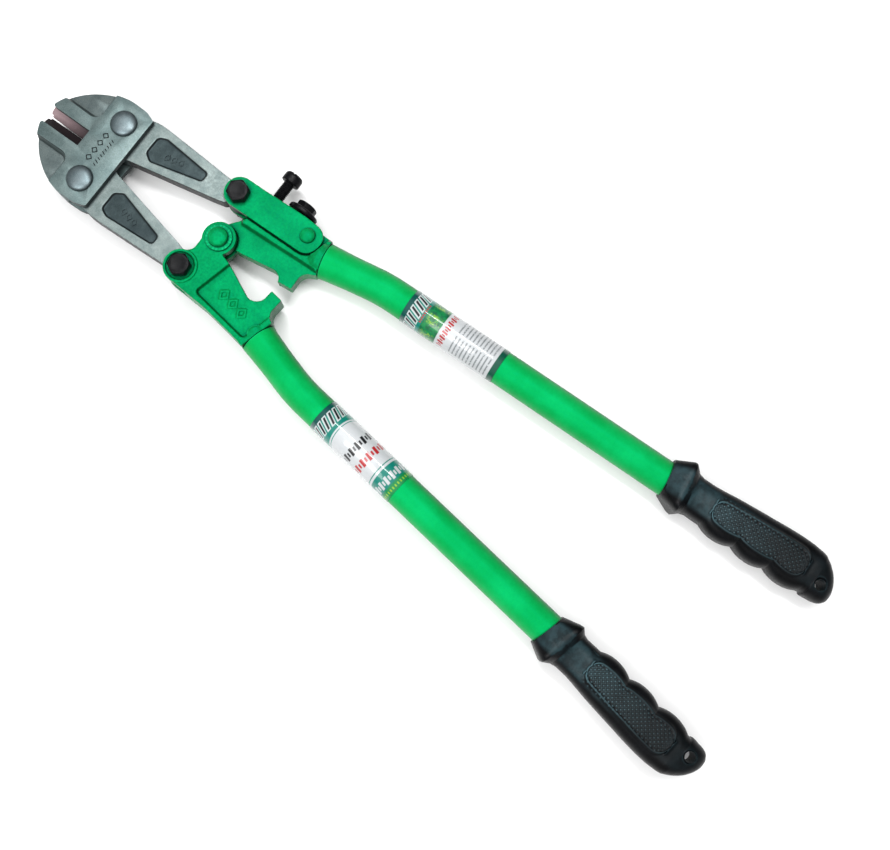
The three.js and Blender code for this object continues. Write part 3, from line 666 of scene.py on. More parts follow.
def grip_sections():
    """(outer edge, inner edge, half thickness, squareness); edges are (across, below the mouth)."""
    collar = [
        ((-13.0, -3.0), (12.6, 1.0), 13.2, 3.4), ((-17.9, 8.0), (16.3, 11.6), FOOT, 5.0),
        ((-17.9, 9.8), (16.9, 14.6), FOOT, 5.0), ((-14.5, 15.0), (14.0, 18.6), 14.0, 3.0),
        ((-13.6, 19.0), (13.1, 22.0), 13.4, 2.8)
    ]
    tail = [
        ((-17.3, BODY_TO), (grip_front(BODY_TO), BODY_TO), 14.6, 2.8),
        ((-16.6, 110.0), (13.0, 110.0), 14.4, 2.8), ((-15.8, 111.6), (14.2, 111.0), 14.2, 2.8),
        ((-13.0, 116.0), (14.0, 115.2), 13.0, 2.7), ((-8.6, 120.8), (13.6, 119.8), 10.8, 2.6),
        ((-3.0, 124.6), (12.4, 123.4), 7.6, 2.5), ((2.0, 126.6), (9.6, 126.0), 3.6, 2.4)
    ]
    sections = []
    for i in range(len(collar) - 1):
        sections += [blended(collar[i], collar[i + 1], k / 10) for k in range(10)]
    body = []
    for b in np.arange(BODY_FROM, BODY_TO, 0.35):
        half = 13.4 + 1.2 * (b - BODY_FROM) / (BODY_TO - BODY_FROM)
        body.append(((-grip_back(b), b), (grip_front(b), b), half, 2.8))
    sections += [blended(collar[-1], body[0], k / 16) for k in range(16)]
    sections += body
    for i in range(len(tail) - 1):
        sections += [curved(around(tail, i), k / 9) for k in range(9)]
    return sections + [tail[-1]]


def flat_values(section):
    return np.array([*section[0], *section[1], section[2], section[3]])


def as_section(v):
    return (v[0], v[1]), (v[2], v[3]), v[4], v[5]


def blended(a, b, t):
    return as_section(flat_values(a) * (1 - t) + flat_values(b) * t)


def curved(sections, t):
    """A section between the middle two of four, on the smooth curve through them all."""
    return as_section(between(*map(flat_values, sections), t))


def panel_height(across, below):
    """How far the knurled panel and its border stand out of or sink into the grip's face."""
    share = min(1.0, max(0.0, (below - PANEL_TOP) / 14))
    inner_edge = 0.55 * grip_front(below) - 0.7 + 0.8 * share
    outer_edge = 8.0 - grip_back(below)
    middle, half = (inner_edge + outer_edge) / 2, (inner_edge - outer_edge) / 2
    for reach in ((below - PANEL_TOP) / 6, (PANEL_END - below) / 9):
        if reach < 1:
            half *= max(0.0, 1 - (1 - max(0.0, reach)) ** 2.4) ** 0.42
    inside = half - abs(across - middle)
    if below < PANEL_TOP or below > PANEL_END:
        inside = -min(3.0, max(PANEL_TOP - below, below - PANEL_END)) - max(0.0, abs(across - middle) - 5)
    border = BORDER_HEIGHT * math.exp(-((inside / 1.25) ** 2))
    if inside < BORDER_WIDTH:
        return border
    u = (across + below) / KNURL_PITCH
    v = (across - below) / KNURL_PITCH
    pyramid = 1 - 2 * max(abs(u - round(u)), abs(v - round(v)))
    fade = min(1.0, (inside - BORDER_WIDTH) / 0.5)
    return border - KNURL_SINK * fade + KNURL_HEIGHT * fade * min(pyramid, 0.85)


def left_grip_shape(points=300):
    _, knee, length = tube_line()
    along = down(TUBE_LEAN)
    mouth = knee + along * length
    across = Vector((-along.y, along.x))
    angles = np.linspace(0, 2 * math.pi, 1441)[:-1]
    rings = []
    for outer, inner, half, square in grip_sections():
        cosine, sine = np.cos(angles), np.sin(angles)
        c = np.sign(cosine) * np.abs(cosine) ** (2 / square)
        s = np.sign(sine) * np.abs(sine) ** (2 / square)
        outer, inner = np.array(outer), np.array(inner)
        middle, reach = (outer + inner) / 2, (inner - outer) / 2
        u = middle[0] + reach[0] * c
        below = middle[1] + reach[1] * c
        z = half * s
        loop = np.stack([u, below, z], 1)
        closed = np.vstack([loop, loop[:1]])
        travel = np.concatenate([[0], np.cumsum(np.linalg.norm(np.diff(closed, axis=0), axis=1))])
        stops = np.linspace(0, travel[-1], points + 1)[:-1]
        even = np.stack([np.interp(stops, travel, closed[:, k]) for k in range(3)], 1)
        if PANEL_TOP - 6 < middle[1] < PANEL_END + 6:
            for row in even:
                if abs(row[2]) > 0.5 * half:
                    row[2] += math.copysign(panel_height(row[0], row[1]), row[2])
        rings.append([
            (mouth.x + across.x * u + along.x * v, mouth.y + across.y * u + along.y * v, w)
            for u, v, w in even
        ])
    grip = skin(rings)
    above = 20.0
    bore = disc(TUBE_RADIUS + 0.1, 0, above + TUBE_IN_GRIP + 1.5)
    lean = spun(-math.degrees(TUBE_LEAN))
    start = mouth - along * above
    bore = moved(bore, shifted(start.x, start.y) @ lean @ spun(90, "X"))
    at = mouth + across * HANG_HOLE[0] + along * HANG_HOLE[1]
    funnel = lathe([(0, 10.9), (3.8, 10.9), (4.4, 12.2), (5.4, 14), (5.4, 25), (0, 25)], at, 64)
    grip = cut(grip, bore, disc(3.7, -30, 30, at, 64), copy_of(funnel, MIRROR_Z), funnel)
    return thin(grip, 0.6)


def make_handles():
    parts = (
        ("_tube", "enamelled", "tube_enamel", TUBE_ENAMEL, left_tube_shape, 50),
        ("_grip", "moulded", "grip_vinyl", GRIP_VINYL, left_grip_shape, 60)
    )
    for what, look, slot, material, shape, angle in parts:
        left = shape()
        works = {LEFT: left, RIGHT: copy_of(left, MIRROR_X)}
        for side, word in SIDES:
            finish(works[side], look, word + what, material, angle)
    for side, word in SIDES:
        finish(label_shape(side), "printed", word + "_label", LABEL_PRINT[side], 50)


# ---- castings ------------------------------------------------------------------------------------
def on_collar(work):
    """Places a piece drawn along -y from the origin on the left collar."""
    return moved(work, shifted(*COLLAR_AT) @ spun(-math.degrees(COLLAR_LEAN)))


def along_tube(profile):
    return on_collar(moved(lathe(profile), spun(90, "X")))


def collar_shape():
    spigot = TUBE_BORE - 0.1
    return along_tube([
        (0, -9), (10.5, -9), (TUBE_MOUTH_RADIUS - 0.4, -5.5), (TUBE_MOUTH_RADIUS, -4.5),
        (TUBE_MOUTH_RADIUS, -0.1), (spigot, -0.1), (spigot, 24), (spigot - 1, 25), (0, 25)
    ])


def below_collar():
    return along_tube([(0, -0.1), (30, -0.1), (30, 40), (0, 40)])


def as_cast(work, seed):
    return thin(cast_skin(soften(work, voxel=0.42, rounds=5), seed), 0.42)


def left_casting_shape():
    web = slab(
        outline([
            (-45.5, -55.5), (-42.3, -24, 60), (-42.3, 7.3), (-30.8, 7.3), (-24, 16), (-16.3, 8.2, 7),
            (-7.5, 9), (0, 0), (-7.2, -9.3), (-8.8, -16.3), (-22.4, -49.9, 8), (-4.9, -50, 1),
            (-5.9, -59.5, 1), (-19, -59, 7), (-22.5, -66.5), (-46.8, -60.5)
        ]),
        CAST_HALF
    )
    boss = LEFT_BOLT_AT
    casting = join(
        cut(web, below_collar()), disc(BOSS_RADIUS, -CAST_HALF - 1, CAST_HALF + 1, boss),
        disc(BOSS_RADIUS, PLATE_LOW, CAST_HALF), collar_shape()
    )
    seat = 9.7
    casting = cut(
        casting, disc(seat, CAST_HALF, CAST_HALF + 2, boss), disc(seat, -CAST_HALF - 2, -CAST_HALF, boss),
        disc(LAP_RADIUS, -CAST_HALF - 2, GAP / 2)
    )
    # half-lap at the centre pivot: room for the tongue of the right casting below
    lap = cut(disc(LAP_RADIUS, 0, PLATE_LOW), disc(LAP_CORE, -1, PLATE_LOW + 1))
    bridge = prism(outline([(-30, 12), (-7, 9.5), (-6.5, -10), (-30, -14)]), GAP / 2, PLATE_LOW)
    casting = join(cut(casting, cut(lap, bridge)), disc(LAP_CORE, GAP / 2, PLATE_LOW + 0.5))
    slot = slab(outline([(-60, -4), (-38, -4), boss, (-18.7, 4.5), (-17, 24), (-60, 24)]), PLATE_LOW)
    sunk = [(-37.2, -12.2, 2), (-4, -18.6), (6, -50), (0, -70), (-20, -60.6), (-41.3, -56.8, 2)]
    pocket = drafted(sunk, POCKET_FLOOR, CAST_HALF + 0.1, 1)
    casting = cut(
        casting, slot, disc(TAIL_RADIUS + 1, -PLATE_LOW, PLATE_LOW, boss), hole(BORE, boss),
        hole(BORE), copy_of(pocket, MIRROR_Z), pocket
    )
    low, high = POCKET_FLOOR - 0.5, POCKET_FLOOR + 0.9
    places = ((-26.9, -27.6), (-28.2, -36.2), (-29.5, -44.8))
    marks = [diamond_mark(x, y, 9.2, 8.2, low, high, 1.3, turn=-9) for x, y in places]
    return as_cast(join(casting, *marks), seed=3.0)


LINK_CORNERS = [
    (43.6, 21.8, 10.7), (45.3, -2), (48.4, -33, 30), (48.6, -56.2, 10), (27.6, -54.6, 10),
    (21.9, 21.8, 10.7)
]


def link_plate_shape():
    plate = cut(
        prism(outline(LINK_CORNERS), PLATE_LOW, PLATE_HIGH), hole(BORE, RIGHT_BOLT_AT, 0),
        hole(LINK_RIVET_HOLE, LINK_RIVET_AT, 0)
    )
    plate = soften(plate, voxel=0.4, rounds=8)
    return thin(cast_skin(plate, 9.0, amount=0.06, grain=0.03), 0.4)


def on_screw(work, at):
    """Places a piece drawn along +x from the origin on a screw axis of the right side."""
    return moved(work, shifted(*at) @ spun(SCREW_TURN))


def laid_on_screw(work, at):
    """Places a piece drawn along +z."""
    return on_screw(moved(work, spun(90, "Y")), at)


def screw_bore(at):
    return laid_on_screw(disc(SCREW_BORE, -THROUGH, 6), at)


def right_casting_shape():
    web = slab(
        outline([
            (0, 0), (2.1, -16.5), (8.9, -47.8, 7), (2.9, -48.4, 1), (4.4, -58.4, 1), (17.5, -57.2, 8),
            (22.8, -66.5), (46.5, -60.5), (46.8, -40, 20), (45.2, -15.5), (35.5, -16.2), (36.3, -3),
            (22, -3.2, 3), (9.5, 5.5)
        ]),
        JAW_HALF
    )
    rail = [
        (16.6, -3.6, 1), (20.4, -1.2), (30, -6), (46, -30), (47, -58), (46.6, -61), (23.6, -66),
        (22.5, -61.5)
    ]
    slope = drafted(rail, JAW_HALF - 0.1, RIB_HALF, -2.2)
    raised = join(prism(outline(rail), -RIB_HALF, -JAW_HALF + 1), slope)
    raised = join(raised, drafted(rail, -JAW_HALF, JAW_HALF, 0))
    # room for the link plates, open to the adjusting side
    room = []
    for x, y, *radius in LINK_CORNERS:
        grow = 1.2
        sideways = grow + 6 if x > 35 else -grow
        corner = [x + sideways, y + grow if y > -20 else y - grow]
        room.append(corner + [radius[0] + grow] if radius else corner)
    room = outline(room)
    casting = join(
        cut(join(web, raised), moved(below_collar(), MIRROR_X)),
        disc(TONGUE_RADIUS, -JAW_HALF - 1, JAW_HALF), moved(collar_shape(), MIRROR_X)
    )
    casting = cut(
        casting, prism(room, JAW_HALF, CAST_HALF + 5), prism(room, -CAST_HALF - 5, -JAW_HALF),
        hole(TONGUE_RADIUS + 0.6, low=-GAP / 2), hole(PIVOT_PLAY), hole(LINK_RIVET_HOLE, LINK_RIVET_AT),
        hole(TAIL_RADIUS + 0.8, RIGHT_BOLT_AT), screw_bore(LOCK_AT)
    )
    return as_cast(casting, seed=17.0)


def make_castings():
    finish(left_casting_shape(), "cast", "left_casting", CAST_ENAMEL, 50)
    finish(right_casting_shape(), "cast", "right_casting", CAST_ENAMEL, 50)
    plate = link_plate_shape()
    rear = copy_of(plate, MIRROR_Z)
    for work, node in ((plate, "front_link_plate"), (rear, "rear_link_plate")):
        finish(work, "enamelled", node, CAST_ENAMEL, 50)


# ---- fasteners -----------------------------------------------------------------------------------
def thread(radius, pitch, low, high, segments=40):
    """A rod along z with a real helical thread; both ends taper to a chamfer."""
    depth = 0.6 * pitch
    steps = max(4, round((high - low) / (pitch / 6)))
    rings = []
    for i in range(steps + 1):
        z = low + (high - low) * i / steps
        edge = min(z - low, high - z)
        ring = []
        for k in range(segments):
            angle = 2 * math.pi * k / segments
            phase = (z / pitch - k / segments) % 1.0
            groove = depth * (1 - abs(2 * phase - 1)) ** 1.1
            r = min(radius - groove, radius - depth + edge * 1.2)
            ring.append((r * math.cos(angle), r * math.sin(angle), z))
        rings.append(ring)
    return skin(rings)


def hex_head(at, seat, turn):
    """A forged hexagonal head with a washer face below and a shallow dish on top."""
    low, high = seat + GAP, seat + GAP + 5.6
    head = hexagon(HEAD_ACROSS, low, high, at, turn, chamfer_low=False)
    dish = lathe([(0, high - 0.25), (3.2, high - 0.22), (5.6, high + 0.1), (0, high + 0.1)], at)
    return bevelled(cut(head, dish), 0.6, 3, 22)


def tail_bolt_shape(at, head_seat, turn):
    top = head_seat + 1.5
    shank = lathe([(0, -6), (SHANK, -6), (SHANK, top), (0, top)], at, 48)
    threads = moved(thread(SHANK, BOLT_PITCH, -FOOT, -5.5), shifted(*at))
    return join(hex_head(at, head_seat, turn), shank, threads)


def nut_shape(at, seat, height, turn):
    top = -seat - GAP
    base = top - height
    nut = bevelled(hexagon(NUT_ACROSS, base, top, at, turn), 0.3, 3, 20)
    mouth = lathe([(0, base - 1), (BORE + 1.6, base - 1), (BORE, base + 0.7), (0, base + 0.7)], at)
    return cut(nut, disc(BORE - 0.15, -30, 0, at), mouth)


def centre_bolt_shape():
    seat = CAST_HALF + 1.3 + GAP
    dome = [(6.8, seat), (6.8, CAST_HALF + 3.4), (6.2, CAST_HALF + 4.5), (5.0, CAST_HALF + 5.1)]
    profile = [(0, -7), (SHANK, -7), (SHANK, seat)] + dome + [(3.4, CAST_HALF + 5.5), (0, CAST_HALF + 5.6)]
    body = lathe(rounded(profile, 0.8, 4))
    return join(body, thread(SHANK, BOLT_PITCH, -15.6, -6.5))


def ring_shape(outer, low, high):
    profile = rounded([(0, low), (outer, low), (outer, high), (0, high)], 0.35, 4)
    return cut(lathe(profile, (0, 0), 96), disc(BORE, low - 5, high + 5))


def adjusting_screw_shape():
    head = lathe(rounded([(0, 14.4), (6.6, 14.4), (6.6, 19.8), (5.6, 21.4), (0, 22)], 0.7, 4), (0, 0), 72)
    slot = prism([(-8, -0.8), (8, -0.8), (8, 0.8), (-8, 0.8)], 19.9, 24)
    screw = join(bevelled(cut(head, slot), 0.2, 2, 30), thread(SCREW_RADIUS, SCREW_PITCH, -10.4, 15, 56))
    return laid_on_screw(screw, PUSH_AT)


def lock_washer_shape():
    profile = rounded([(0, 0.6), (10.4, 0.6), (11, 1.3), (11, 3.2), (10.2, 4), (0, 4)], 0.3, 3)
    washer = cut(lathe(profile, (0, 0), 96), disc(SCREW_BORE, -3, 8))
    return laid_on_screw(washer, LOCK_AT)


def lock_screw_shape():
    low, high = 4.3, 8.8
    head = hexagon(13, low, high, (0, 0), 0, chamfer_low=False)
    dish = lathe([(0, high - 0.3), (3.8, high - 0.3), (4.4, high + 0.2), (0, high + 0.2)])
    head = bevelled(cut(head, dish), 0.3, 3, 20)
    screw = join(head, thread(SCREW_RADIUS, SCREW_PITCH, -18, 5, 48))
    return laid_on_screw(screw, LOCK_AT)


def adjuster_block_shape():
    half = 5.1
    corners = [(-9.6, -half, 1), (-0.6, -half, 1), (-0.6, half, 1), (-9.6, half, 1)]
    block = bevelled(slab(outline(corners), JAW_HALF), 0.4, 3, 40)
    return cut(on_screw(block, PUSH_AT), screw_bore(PUSH_AT))


def make_fasteners():
    tongue_low = JAW_HALF + 1
    black = ("black_oxide", BLACK_OXIDE)
    green = ("cast_enamel", CAST_ENAMEL)
    pieces = (
        (tail_bolt_shape(LEFT_BOLT_AT, CAST_HALF, 8), "left_jaw_bolt", "hex", black),
        (nut_shape(LEFT_BOLT_AT, CAST_HALF, 6.4, 20), "left_jaw_nut", "hex", black),
        (tail_bolt_shape(RIGHT_BOLT_AT, PLATE_HIGH, 14), "right_jaw_bolt", "hex", black),
        (nut_shape(RIGHT_BOLT_AT, PLATE_HIGH, 6.8, 5), "right_jaw_nut", "hex", black),
        (nut_shape((0, 0), tongue_low + 1.8, 6, 12), "centre_nut", "hex", black),
        (ring_shape(10.4, -tongue_low - 1.8, -tongue_low - GAP), "centre_rear_washer", "turned", black),
        (centre_bolt_shape(), "centre_bolt", "painted", green),
        (ring_shape(9.2, CAST_HALF + GAP, CAST_HALF + 1.3), "centre_front_washer", "painted", green),
        (rivet_shape(5.2, 4.5, 0.3, 2.1, LINK_RIVET_AT), "link_rivet", "painted", green),
        (adjusting_screw_shape(), "adjusting_screw", "slotted", black),
        (lock_washer_shape(), "lock_washer", "turned", black),
        (lock_screw_shape(), "lock_screw", "hex", black),
        (adjuster_block_shape(), "adjuster_block", "machined", black)
    )
    for work, node, look, (slot, material) in pieces:
        finish(work, look, node, material, 35)


# ---- materials -----------------------------------------------------------------------------------
class Look:
    """Builds one node material round a Principled shader, in millimetres of the row frame."""

    def __init__(self, name, **settings):
        self.material = bpy.data.materials.new(name)
        self.material.use_nodes = True
        self.tree = self.material.node_tree
        self.tree.nodes.clear()
        output = self.node("OutputMaterial")
        self.shader = self.node("BsdfPrincipled")
        self.tree.links.new(self.shader.outputs[0], output.inputs["Surface"])
        for socket, value in settings.items():
            self.shader.inputs[socket.replace("_", " ")].default_value = value
        place = self.node("TexCoord").outputs["Object"]
        self.mm = self.vector("SCALE", place, scale=1 / MM)

    def node(self, kind, **inputs):
        """A new shader node, with some of its inputs set."""
        made = self.tree.nodes.new("ShaderNode" + kind)
        for socket, value in inputs.items():
            self.put(made.inputs[socket], value)
        return made

    def put(self, socket, value):
        """Sets an input from another node's output, or to a value."""
        if isinstance(value, bpy.types.NodeSocket):
            self.tree.links.new(value, socket)
        else:
            socket.default_value = value

    def vector(self, operation, a, b=None, scale=None):
        node = self.node("VectorMath")
        node.operation = operation
        self.put(node.inputs[0], a)
        if b is not None:
            self.put(node.inputs[1], b)
        if scale is not None:
            node.inputs["Scale"].default_value = scale
        return node.outputs["Value" if operation == "DOT_PRODUCT" else "Vector"]

    def math(self, operation, a, b=0.0, clamp=False):
        node = self.node("Math")
        node.operation = operation
        node.use_clamp = clamp
        for socket, value in zip(node.inputs, (a, b, 0.0)):
            self.put(socket, value)
        return node.outputs[0]

    def noise(self, scale, detail=3.0, roughness=0.55, stretch=None, distortion=0.0):
        """Noise with features of about 1 / scale millimetres."""
        node = self.node("TexNoise", Scale=scale, Detail=detail, Roughness=roughness, Distortion=distortion)
        where = self.vector("MULTIPLY", self.mm, stretch) if stretch else self.mm
        self.put(node.inputs["Vector"], where)
        return node.outputs["Fac"]

    def cloud(self, scale, detail, start=0.0, end=1.0, roughness=0.55):
        """Noise with its contrast raised, from start to end."""
        return self.ramp(self.noise(scale, detail, roughness), 0.3, 0.7, start, end)

    def ramp(self, value, low, high, start=0.0, end=1.0):
        """Maps value smoothly from low..high onto start..end, held outside."""
        node = self.node("MapRange")
        node.interpolation_type = "SMOOTHSTEP"
        for socket, number in zip(node.inputs, (value, low, high, start, end)):
            self.put(socket, number)
        return node.outputs[0]

    def mix(self, share, a, b, blend="MIX"):
        node = self.node("Mix")
        node.data_type = "RGBA"
        node.blend_type = blend
        for index, value in ((0, share), (6, a), (7, b)):
            if isinstance(value, tuple) and len(value) == 3:
                value = (*value, 1.0)
            self.put(node.inputs[index], value)
        return node.outputs[2]

    def shaded(self, color, value):
        """A colour multiplied by a grey value."""
        grey = self.node("CombineColor", Red=value, Green=value, Blue=value)
        return self.mix(1.0, color, grey.outputs[0], "MULTIPLY")

    def band(self, value, low, high, edge=0.06):
        """One between low and high, zero outside, with narrow soft edges."""
        rise = self.ramp(value, low - edge, low + edge)
        fall = self.ramp(value, high - edge, high + edge, 1.0, 0.0)
        return self.times(rise, fall)

    def times(self, *factors):
        return functools.reduce(functools.partial(self.math, "MULTIPLY"), factors)

    def either(self, *masks):
        return functools.reduce(functools.partial(self.math, "MAXIMUM"), masks)

    def minus(self, a, b):
        return self.math("SUBTRACT", a, b)

    def plus(self, a, b):
        return self.math("ADD", a, b)

    def size(self, value):
        return self.math("ABSOLUTE", value)

    def bump(self, height, distance, strength):
        """Bump of a depth in millimetres, on top of any bump already there."""
        node = self.node("Bump", Strength=strength, Distance=distance * MM, Height=height)
        normal = self.shader.inputs["Normal"]
        if normal.links:
            self.put(node.inputs["Normal"], normal.links[0].from_socket)
        self.put(normal, node.outputs[0])

    def edges(self, low, high):
        """Zero in hollows and on flats, one on convex edges."""
        return self.ramp(self.node("NewGeometry").outputs["Pointiness"], low, high)

    def hollow(self, distance, low=0.35, high=0.9):
        """One deep in corners and gaps narrower than the distance, zero in the open: the mask that painted
        shade is laid with.
        """
        node = self.node("AmbientOcclusion", Distance=distance * MM)
        node.samples = 6
        return self.ramp(node.outputs["AO"], low, high, 1.0, 0.0)

    def steep(self, low=0.35, high=0.8):
        """One on walls that stand up, zero on faces that lie flat."""
        return self.ramp(self.size(self.leaning((0, 0, 1))), low, high, 1.0, 0.0)

    def leaning(self, direction):
        """How far the surface faces the direction, from -1 to 1."""
        return self.vector("DOT_PRODUCT", self.node("NewGeometry").outputs["Normal"], direction)

    def facing(self, direction, low, high):
        """One on surfaces that face the direction."""
        return self.ramp(self.leaning(direction), low, high)

    def dull(self, mask):
        """Takes the metallic shine away where the mask is one."""
        metal = self.shader.inputs["Metallic"]
        self.put(metal, self.ramp(mask, 0.0, 1.0, metal.default_value, 0.0))

    def lay(self, mask, color):
        """Covers the tint so far with a colour where the mask is one."""
        self.tint = self.mix(mask, self.tint, color)

    def surface(self, scale, low, high, detail=3):
        """Gives the shader its tint, and a roughness that wanders from low to high."""
        self.put(self.shader.inputs["Base Color"], self.tint)
        self.put(self.shader.inputs["Roughness"], self.cloud(scale, detail, low, high))

    def level(self):
        """Height above the tool's mid-plane, negative towards the rear."""
        return self.minus(self.vector("DOT_PRODUCT", self.mm, (0, 0, 1)), CENTRE.z / MM)

    def height(self):
        """Distance from the tool's mid-plane, whichever face."""
        return self.size(self.level())

    def along(self, origin, direction):
        """Distance of the surface from a point, along a direction, in the tool frame."""
        spot = (CENTRE / MM) + Vector((*origin[:2], 0))
        away = self.vector("SUBTRACT", self.mm, tuple(spot))
        return self.vector("DOT_PRODUCT", away, (*direction[:2], 0))


HEAD_ORIGIN = HEAD.to_translation()
HEAD_SIDEWAYS = HEAD.to_3x3() @ Vector((1, 0, 0))
HEAD_FORWARD = HEAD.to_3x3() @ Vector((0, 1, 0))


def steel_surface(look, light, dark, grain=2.6):
    """Ground and tumbled steel: cloudy tint, fine speckle and grain, and light pits."""
    tint = look.mix(look.ramp(look.noise(0.09, 5, 0.65), 0.32, 0.68), dark, light)
    speck = look.noise(grain, 2, 0.7)
    tint = look.shaded(tint, look.ramp(speck, 0.3, 0.72, 0.72, 1.2))
    stain = look.ramp(look.noise(0.55, 4, 0.7), 0.6, 0.74)
    tint = look.mix(look.times(stain, 0.35), tint, tuple(0.5 * v for v in dark))
    look.bump(speck, 0.03, 0.3)
    return tint


def plate_steel():
    """Satin ground faces, with painted shade on the steep side walls, in corners and gaps, in the pressed
    marks and along the top edges.
    """
    look = Look("plate_steel", Metallic=0.75, Specular_IOR_Level=0.08)
    look.tint = steel_surface(look, (0.115, 0.152, 0.15), (0.08, 0.112, 0.112))
    # painted shade: the steep side walls are laid nearly black and lose their shine
    edge = look.steep()
    look.lay(look.times(edge, 0.9), (0.02, 0.026, 0.026))
    # painted shade: corners and gaps are laid nearly black
    look.lay(look.hollow(1.3), (0.006, 0.008, 0.009))
    # painted shade: a dark band in the floors of the pressed marks and along the plate's top edges
    look.lay(look.band(look.height(), 9.1, 9.65, 0.05), (0.012, 0.015, 0.016))
    look.dull(edge)
    look.surface(0.6, 0.34, 0.48)
    return look.material


def jaw_steel(side):
    """Forged steel: dark scale on the pocket floors and under the head, ground faces and cutting bevels;
    painted shade on the pocket walls, the arm's side walls, in corners and on the left bevel, and a painted
    highlight on the right bevel.
    """
    name = "jaw_steel_left" if side == LEFT else "jaw_steel_right"
    look = Look(name, Metallic=0.75, Specular_IOR_Level=0.08)
    look.tint = steel_surface(look, (0.145, 0.175, 0.17), (0.095, 0.122, 0.12))
    scale = steel_surface(look, (0.03, 0.042, 0.044), (0.018, 0.026, 0.028), 2.2)
    nose_scale = steel_surface(look, (0.13, 0.16, 0.158), (0.09, 0.115, 0.116), 2.2)
    forward = look.along(HEAD_ORIGIN, HEAD_FORWARD)
    across = look.size(look.along(HEAD_ORIGIN, HEAD_SIDEWAYS))
    height = look.height()
    steep = look.steep()
    arm = look.ramp(forward, -17, -15, 1.0, 0.0)
    pocket_floor = look.times(look.ramp(height, 4.5, 4.8, 1.0, 0.0), arm, look.ramp(height, 2.0, 2.6))
    look.lay(pocket_floor, scale)
    look.lay(look.ramp(forward, -17, -15), nose_scale)
    # painted shade: the pocket walls of the arm are laid nearly black
    wall = look.times(arm, look.steep(0.5, 0.985), look.band(height, 3.7, 5.42, 0.08))
    look.lay(look.times(wall, 0.95), (0.005, 0.008, 0.009))
    # painted shade: the arm's steep walls below its face are laid dark
    rim = look.times(arm, steep, look.ramp(height, 4.6, 5.0, 1.0, 0.0))
    look.lay(look.times(rim, 0.88), (0.02, 0.018, 0.019))
    duller = look.either(wall, rim)
    # the cutting bevels are lit and shaded copies: the left one is painted shade, laid nearly black and
    # dulled; the right one is a painted highlight near the mouth that turns to painted shade deeper in the
    # notch
    bevel = look.times(look.ramp(across, 7.4, 8.2, 1.0, 0.0), look.ramp(forward, 13.6, 14.4))
    grind = look.noise(1.4, 2, 0.6, stretch=(1, 6, 1))
    if side == LEFT:
        ground = look.mix(grind, (0.006, 0.005, 0.006), (0.016, 0.012, 0.013))
        duller = look.either(duller, bevel)
    else:
        wear_and_painted_highlight = look.mix(grind, (0.22, 0.155, 0.165), (0.5, 0.37, 0.385))
        ground = look.mix(look.ramp(forward, 16, 44, 0.85, 0.0), wear_and_painted_highlight, (0.012, 0.01, 0.012))
    look.lay(bevel, ground)
    look.dull(duller)
    # painted shade: corners and gaps are laid dark
    look.lay(look.times(look.hollow(2.2), 0.9), (0.008, 0.012, 0.014))
    look.surface(0.6, 0.34, 0.5)
    return look.material


def rivet_steel():
    look = Look("rivet_steel", Metallic=0.85, Specular_IOR_Level=0.3)
    look.tint = steel_surface(look, (0.125, 0.155, 0.165), (0.085, 0.112, 0.12), 2.2)
    # painted shade: the gap round the rivet's head and other corners are laid dark
    look.lay(look.hollow(1.0), (0.01, 0.014, 0.016))
    look.surface(0.8, 0.34, 0.42)
    return look.material


def enamel(name, light, dark, deep, grain_depth, roughness, grain=1.6, corner_shade_reach=5.0, steep=0.0):
    """Thick green enamel: cloudy depth; painted shade in the deep colour in corners and gaps, on steep
    walls of castings and on the +X side of tubes; a painted highlight on convex edges.
    """
    look = Look(name, Specular_IOR_Level=0.32, Specular_Tint=(0.0, 0.9, 0.5, 1))
    look.tint = look.mix(look.cloud(0.05, 4), dark, light)
    mottle = look.cloud(0.5, 5, 1.1 - 2 * grain_depth, 1.16, 0.7)
    look.tint = look.shaded(look.tint, mottle)
    # painted highlight: convex edges are laid lighter green
    look.lay(look.times(look.edges(0.515, 0.58), 0.5), (0.01, 0.4, 0.16))
    if steep:
        # painted shade: the deep colour is laid on steep walls 5.7 to 8.5 mm from the mid-plane, and on
        # steep walls that face +X and -Y
        slope = look.times(look.steep(0.55, 0.97), look.band(look.height(), 5.7, 8.5, 0.15))
        look.lay(look.times(slope, 0.6), deep)
        turned_away = look.facing((0.9, -0.4, 0), -0.2, 0.5)
        shade = look.times(look.steep(0.3, 0.9), turned_away, steep)
        look.lay(shade, deep)
    else:
        # painted shade: surfaces that face +X are laid darker
        look.lay(look.facing((0.95, 0, -0.3), 0.3, 1.0), tuple(0.45 * v for v in dark))
    # painted shade: the deep colour is laid in corners and gaps
    look.lay(look.times(look.hollow(corner_shade_reach, 0.48, 0.9), 0.92), deep)
    look.surface(0.5, roughness - 0.06, roughness + 0.08)
    look.bump(look.noise(grain, 3, 0.6), grain_depth, 0.5)
    look.bump(look.noise(0.25, 2), grain_depth * 3, 0.3)
    return look.material


def black_oxide():
    look = Look("black_oxide", Metallic=0.0, Specular_IOR_Level=0.07)
    look.tint = look.mix(look.cloud(0.5, 4), (0.0015, 0.0016, 0.002), (0.004, 0.0042, 0.005))
    wear_and_painted_highlight = look.times(look.edges(0.53, 0.62), look.ramp(look.noise(1.1, 3), 0.45, 0.62))
    look.lay(wear_and_painted_highlight, (0.035, 0.036, 0.038))
    look.surface(1.5, 0.26, 0.42)
    look.bump(look.noise(3, 3), 0.05, 0.4)
    return look.material


